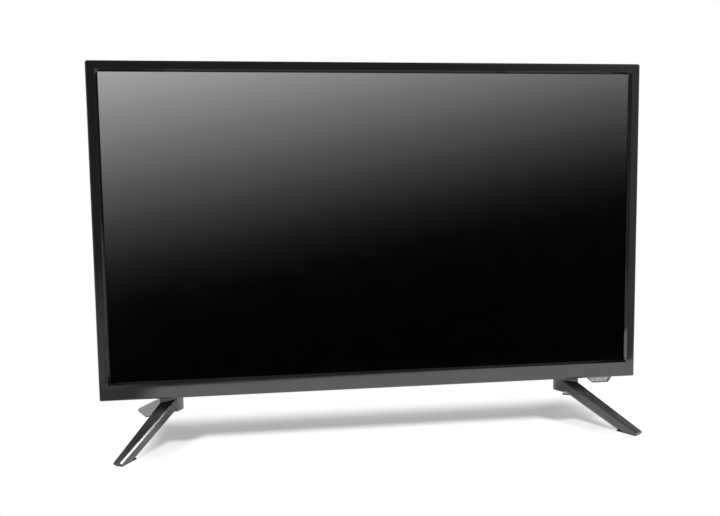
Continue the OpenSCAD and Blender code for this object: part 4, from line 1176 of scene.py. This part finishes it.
@dataclass(frozen=True)
class Viewpoint:
    """Camera where the photograph was taken from.

    Args:
        at: Its place.
        turn: Its turn about Y, X and Z, in degrees.
        lens: Focal length in millimetres.
        sensor: Width of the sensor in millimetres.
        nearest: Distance at which the view starts.
    """

    at: Spot = (-0.1293, -0.8224, 0.2543)
    turn: Spot = (1.5, -5.365, -8.115)
    lens: float = 40.735
    sensor: float = 36.0
    nearest: float = 0.01

    def build(self) -> None:
        """Adds the camera and makes it the scene's own."""
        data = bpy.data.cameras.new("camera")
        data.lens = self.lens
        data.sensor_width = self.sensor
        data.clip_start = self.nearest
        about_y, about_x, about_z = (math.radians(angle) for angle in self.turn)
        tilt = Matrix.Rotation(about_y, 3, "Y") @ Matrix.Rotation(about_x, 3, "X")
        right, ahead, up = (tilt @ Matrix.Rotation(about_z, 3, "Z")).col
        axes = Matrix((right, up, -ahead)).transposed().to_4x4()
        camera = bpy.data.objects.new("camera", data)
        camera.matrix_world = Matrix.Translation(self.at) @ axes
        bpy.context.scene.collection.objects.link(camera)
        bpy.context.scene.camera = camera
        LOG.info("camera with a %.1f mm lens", self.lens)


@dataclass(frozen=True)
class Floor:
    """White floor that is shaded softly under the set and beside the legs.

    Args:
        front: Y of the front edge at X 0, just before the camera's view.
        skew: Change of that edge along X.
        reach: Distance to the other edges.
        shade_left: Where the shading starts to fade at the left, and the width of its fade.
        shade_right: The same at the right.
        shade_front: The same at the front.
        shade_back: The same at the back.
        shade_by_legs: How much further the shading comes forward beside the legs.
        shade_leg_span: Distances from the middle at which it starts to do so, and does so in full.
        least_white: Share of plain white under the set.
        papers: The paper's two tones.
        paper_patch: Size of their patches.
        dim: Place before the set's left end where gloss sees the floor's glow painted darker, as painted
            shade in its reflections.
        dim_share: How much darker it is there.
    """

    front: float = -0.268
    skew: float = -0.0494
    reach: float = 4.0
    shade_left: tuple[float, float] = (-0.212, 0.03)
    shade_right: tuple[float, float] = (0.215, 0.045)
    shade_front: tuple[float, float] = (0.002, 0.028)
    shade_back: tuple[float, float] = (0.018, 0.055)
    shade_by_legs: float = 0.06
    shade_leg_span: tuple[float, float] = (0.17, 0.22)
    least_white: float = 0.25
    papers: tuple[Colour, Colour] = ((0.9, 0.9, 0.9), (0.92, 0.92, 0.92))
    paper_patch: float = 0.05
    dim: Patch = (Ramp(Along.X, -0.27, -0.232, 1.0, 0.0), Ramp(Along.Y, -0.06, 0.0, 1.0, 0.0))
    dim_share: float = 0.75

    def past(self, graph: Graph, place: Socket, edge: tuple[float, float], side: float) -> Socket:
        """Measures how far a place lies past an edge of the shading.

        Args:
            graph: The floor's nodes.
            place: The place, across the edge.
            edge: Where the fade starts, and its width.
            side: 1 where it fades towards greater values, or else -1.

        Returns:
            Distance as a share of the fade's width; 0 inside.
        """
        start, fade = edge
        distance = graph.math("MULTIPLY", graph.math("SUBTRACT", place, start), side / fade)
        return graph.math("MAXIMUM", distance, 0.0)

    def white_share(self, graph: Graph, x: Socket, y: Socket) -> Socket:
        """Mixes the floor's plain white with its shading.

        Args:
            graph: The floor's nodes.
            x: Place on the floor along X.
            y: Place on the floor along Y.

        Returns:
            Share of plain white: least under the set and 1 away from it.
        """
        outwards = graph.math("ABSOLUTE", x)
        beside = graph.spread(outwards, 0.0, self.shade_by_legs, *self.shade_leg_span, smooth=True)
        left = self.past(graph, x, self.shade_left, -1.0)
        right = self.past(graph, x, self.shade_right, 1.0)
        front = self.past(graph, graph.math("ADD", y, beside), self.shade_front, -1.0)
        back = self.past(graph, y, self.shade_back, 1.0)
        ways = (graph.math("MAXIMUM", left, right), graph.math("MAXIMUM", front, back))
        squares = [graph.math("MULTIPLY", way, way) for way in ways]
        far = graph.math("SQRT", graph.math("ADD", *squares))
        return graph.spread(far, self.least_white, 1.0, 0.0, 1.0, smooth=True)

    def finish(self) -> bpy.types.Material:
        """Builds the floor's material, which is white away from the set and takes its shadow under it.

        Returns:
            The material.
        """
        material = bpy.data.materials.new("floor_white")
        material.use_nodes = True
        graph = Graph(material.node_tree)
        spot = graph.split(graph.place())
        pale, paler = ((*tone, 1.0) for tone in self.papers)
        paper = graph.mix(graph.noise(graph.place(), self.paper_patch), pale, paler)
        lit = graph.add("ShaderNodeBsdfDiffuse", {"Color": paper})
        rays = graph.add("ShaderNodeLightPath").outputs
        gloss = rays["Is Glossy Ray"]
        seen = graph.chain("MAXIMUM", (rays["Is Camera Ray"], gloss, rays["Is Transmission Ray"]))
        # Painted shade: the floor's glow is darkened in the dim patch for glossy rays alone
        painted_gloss_shade = graph.chain("MULTIPLY", (patch_level(self.dim, graph, spot), self.dim_share, gloss))
        white = graph.add("ShaderNodeEmission", {"Strength": graph.math("SUBTRACT", 1.0, painted_gloss_shade)})
        share = graph.math("MULTIPLY", self.white_share(graph, *spot[:2]), seen)
        both = graph.add("ShaderNodeMixShader", {0: share, 1: lit.outputs[0], 2: white.outputs[0]})
        graph.add("ShaderNodeOutputMaterial", {"Surface": both.outputs[0]})
        return material

    def build(self) -> None:
        """Lays the floor."""
        left = self.front - self.skew * self.reach
        right = self.front + self.skew * self.reach
        mesh = bpy.data.meshes.new("floor")
        near = [(-self.reach, left, 0.0), (self.reach, right, 0.0)]
        far = [(self.reach, self.reach, 0.0), (-self.reach, self.reach, 0.0)]
        mesh.from_pydata(near + far, [], [(0, 1, 2, 3)])
        floor = bpy.data.objects.new("floor", mesh)
        bpy.context.scene.collection.objects.link(floor)
        mesh.materials.append(self.finish())
        LOG.info("floor laid")


@dataclass(frozen=True)
class Backdrop:
    """Backdrop that is white to the camera, and the dim room that gloss mirrors by direction.

    Args:
        soft_level: Level of the soft light from all round.
        behind: Light behind the set.
        right: Light at the right.
        low_right: Pale floor at the far right.
        left: Light at the far left, behind the set.
        near_left: Dimmer light beside it.
        low_left: Pale floor at the left.
    """

    soft_level: float = 0.55
    behind: Patch = (Ramp(Along.Y, -0.35, 0.15, 0.0, 0.3),)
    right: Patch = (Ramp(Along.X, 0.2, 0.62, 0.09, 0.36), Ramp(Along.X, 0.7, 0.9, 1.0, 0.35))
    low_right: Patch = (Ramp(Along.X, 0.7, 0.9, 0.0, 1.0), Ramp(Along.Z, -0.2, 0.0, 0.9, 0.0))
    left: Patch = (Ramp(Along.X, -0.92, -0.7, 0.9, 0.0), Ramp(Along.Y, -0.05, 0.15, 0.0, 1.0))
    near_left: Patch = (Ramp(Along.X, -0.5, -0.3, 0.4, 0.0), Ramp(Along.X, -0.85, -0.7, 0.0, 1.0))
    low_left: Patch = (Ramp(Along.X, -0.16, -0.08, 1.0, 0.0), Ramp(Along.Z, -0.2, -0.05, 0.35, 0.0))

    def build(self) -> None:
        """Makes the scene's world."""
        world = bpy.data.worlds.new("backdrop")
        bpy.context.scene.world = world
        world.use_nodes = True
        graph = Graph(world.node_tree)
        ways = graph.split(graph.add("ShaderNodeTexCoord").outputs["Generated"])
        patches = (self.behind, self.right, self.low_right, self.left, self.near_left, self.low_left)
        room = graph.chain("MAXIMUM", [patch_level(patch, graph, ways) for patch in patches])
        rays = graph.add("ShaderNodeLightPath").outputs
        seen = graph.math("MAXIMUM", rays["Is Camera Ray"], rays["Is Transmission Ray"])
        soft = graph.math("MULTIPLY", rays["Is Diffuse Ray"], self.soft_level)
        gloss = graph.math("MULTIPLY", rays["Is Glossy Ray"], room)
        level = graph.chain("ADD", (seen, soft, gloss))
        light = graph.add("ShaderNodeBackground", {"Color": WHITE, "Strength": level})
        graph.add("ShaderNodeOutputWorld", {"Surface": light.outputs[0]})
        LOG.info("backdrop made")


@dataclass(frozen=True, kw_only=True)
class AreaLight:
    """Rectangular light.

    Args:
        name: Name of the light.
        at: Its place.
        aim: The point that it faces.
        size: Width and height.
    """

    name: str
    at: Spot
    aim: Spot
    size: tuple[float, float]

    def hang(self, power: float) -> bpy.types.Object:
        """Adds the light.

        Args:
            power: Its power in watts.

        Returns:
            The light's object.
        """
        data = bpy.data.lights.new(self.name, "AREA")
        data.shape = "RECTANGLE"
        data.size, data.size_y = self.size
        data.energy = power
        light = bpy.data.objects.new(self.name, data)
        light.location = self.at
        light.rotation_mode = "QUATERNION"
        light.rotation_quaternion = (Vector(self.aim) - Vector(self.at)).to_track_quat("-Z", "Y")
        bpy.context.scene.collection.objects.link(light)
        LOG.info("light %s", self.name)
        return light


@dataclass(frozen=True, kw_only=True)
class Lamp(AreaLight):
    """Soft lamp that gloss doesn't mirror.

    Args:
        power: Power in watts.
    """

    power: float

    def build(self, nodes: dict[str, bpy.types.Object]) -> None:
        """Adds the lamp, which lights all nodes."""
        self.hang(self.power).visible_glossy = False


@dataclass(frozen=True, kw_only=True)
class Card(AreaLight):
    """Bright card that the gloss of one node alone mirrors.

    Args:
        mirror: The node.
        level: Brightness of the card.
        clear: Whether no other node stands in its light.
    """

    mirror: str
    level: float = 1.0
    clear: bool = False

    def shade(self, data: bpy.types.Light) -> None:
        """Grades the card; a plain one is even."""

    def build(self, nodes: dict[str, bpy.types.Object]) -> None:
        """Adds the card.

        Args:
            nodes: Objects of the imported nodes.
        """
        width, height = self.size
        card = self.hang(self.level * math.pi * width * height)
        card.visible_camera = False
        card.visible_diffuse = False
        card.visible_transmission = False
        only = bpy.data.collections.new(self.name + "_only")
        only.objects.link(nodes[self.mirror])
        card.light_linking.receiver_collection = only
        if self.clear:
            card.light_linking.blocker_collection = only
        self.shade(card.data)


@dataclass(frozen=True, kw_only=True)
class GradedCard(Card):
    """Card that is bright at its upper left and dark below.

    Args:
        rise: Change of its tone along Z.
        slide: Fall of its tone along X.
        base: Tone at X 0 and Z 0.
        gamma: Power that turns a tone into a level.
        peak: Level of tone 1.
    """

    rise: float = 1.18335
    slide: float = 0.214654
    base: float = 0.01
    gamma: float = 2.2
    peak: float = 270.0

    def shade(self, data: bpy.types.Light) -> None:
        """Grades the card by the place on it.

        Args:
            data: The light's data.
        """
        data.use_nodes = True
        graph = Graph(data.node_tree)
        x, _, z = graph.split(graph.add("ShaderNodeNewGeometry").outputs["Position"])
        risen = graph.math("MULTIPLY", z, self.rise)
        slope = graph.math("SUBTRACT", risen, graph.math("MULTIPLY", x, self.slide))
        tone = graph.math("MAXIMUM", graph.math("ADD", slope, self.base), 0.0)
        strength = graph.math("MULTIPLY", graph.math("POWER", tone, self.gamma), self.peak)
        light = graph.add("ShaderNodeEmission", {"Color": WHITE, "Strength": strength})
        graph.add("ShaderNodeOutputLight", {"Surface": light.outputs[0]})


@dataclass(frozen=True)
class Studio:
    """Camera, floor, backdrop and lights.

    Args:
        viewpoint: The camera.
        floor: The floor.
        backdrop: The backdrop.
        lights: Key and fill lamp, and the cards of the screen's sheen and the left leg's bright ridge.
    """

    viewpoint: Viewpoint = Viewpoint()
    floor: Floor = Floor()
    backdrop: Backdrop = Backdrop()
    lights: tuple[Lamp | Card, ...] = (
        Lamp(name="key", at=(-0.05, -0.25, 1.9), aim=(0.0, 0.0, 0.1), size=(0.7, 0.5), power=22.0),
        Lamp(name="fill", at=(1.5, 0.6, 1.3), aim=(0.0, 0.0, 0.15), size=(1.0, 1.0), power=5.0),
        GradedCard(name="screen_card", at=(0.25, -1.5, 0.25), aim=(0.25, 0.0, 0.25), size=(2.4, 1.9),
                   mirror="lcd_panel"),
        Card(name="leg_card", at=(0.65, 0.04, 0.98), aim=(-0.225, -0.07, 0.025), size=(0.5, 0.5),
             mirror="left_leg", level=18.0, clear=True),
    )

    def build(self, nodes: dict[str, bpy.types.Object]) -> None:
        """Builds the studio.

        Args:
            nodes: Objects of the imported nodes.
        """
        bpy.context.scene.view_settings.view_transform = "Standard"
        self.viewpoint.build()
        self.floor.build()
        self.backdrop.build()
        for light in self.lights:
            light.build(nodes)


GROUPS = (FrontFrame, ScreenModule, Boards, Sockets, Speakers, RearCover, Keys, Receiver, Stand)


def main() -> None:
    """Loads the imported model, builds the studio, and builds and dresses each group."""
    logging.basicConfig(level=logging.INFO, format="%(name)s: %(message)s")
    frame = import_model()
    materials = {finish.slot: finish.make() for finish in FINISHES}
    Studio().build(frame["nodes"])
    for group_class in GROUPS:
        group = group_class(frame, materials)
        group.build()
        group.dress()


if __name__ == "__main__":
    main()
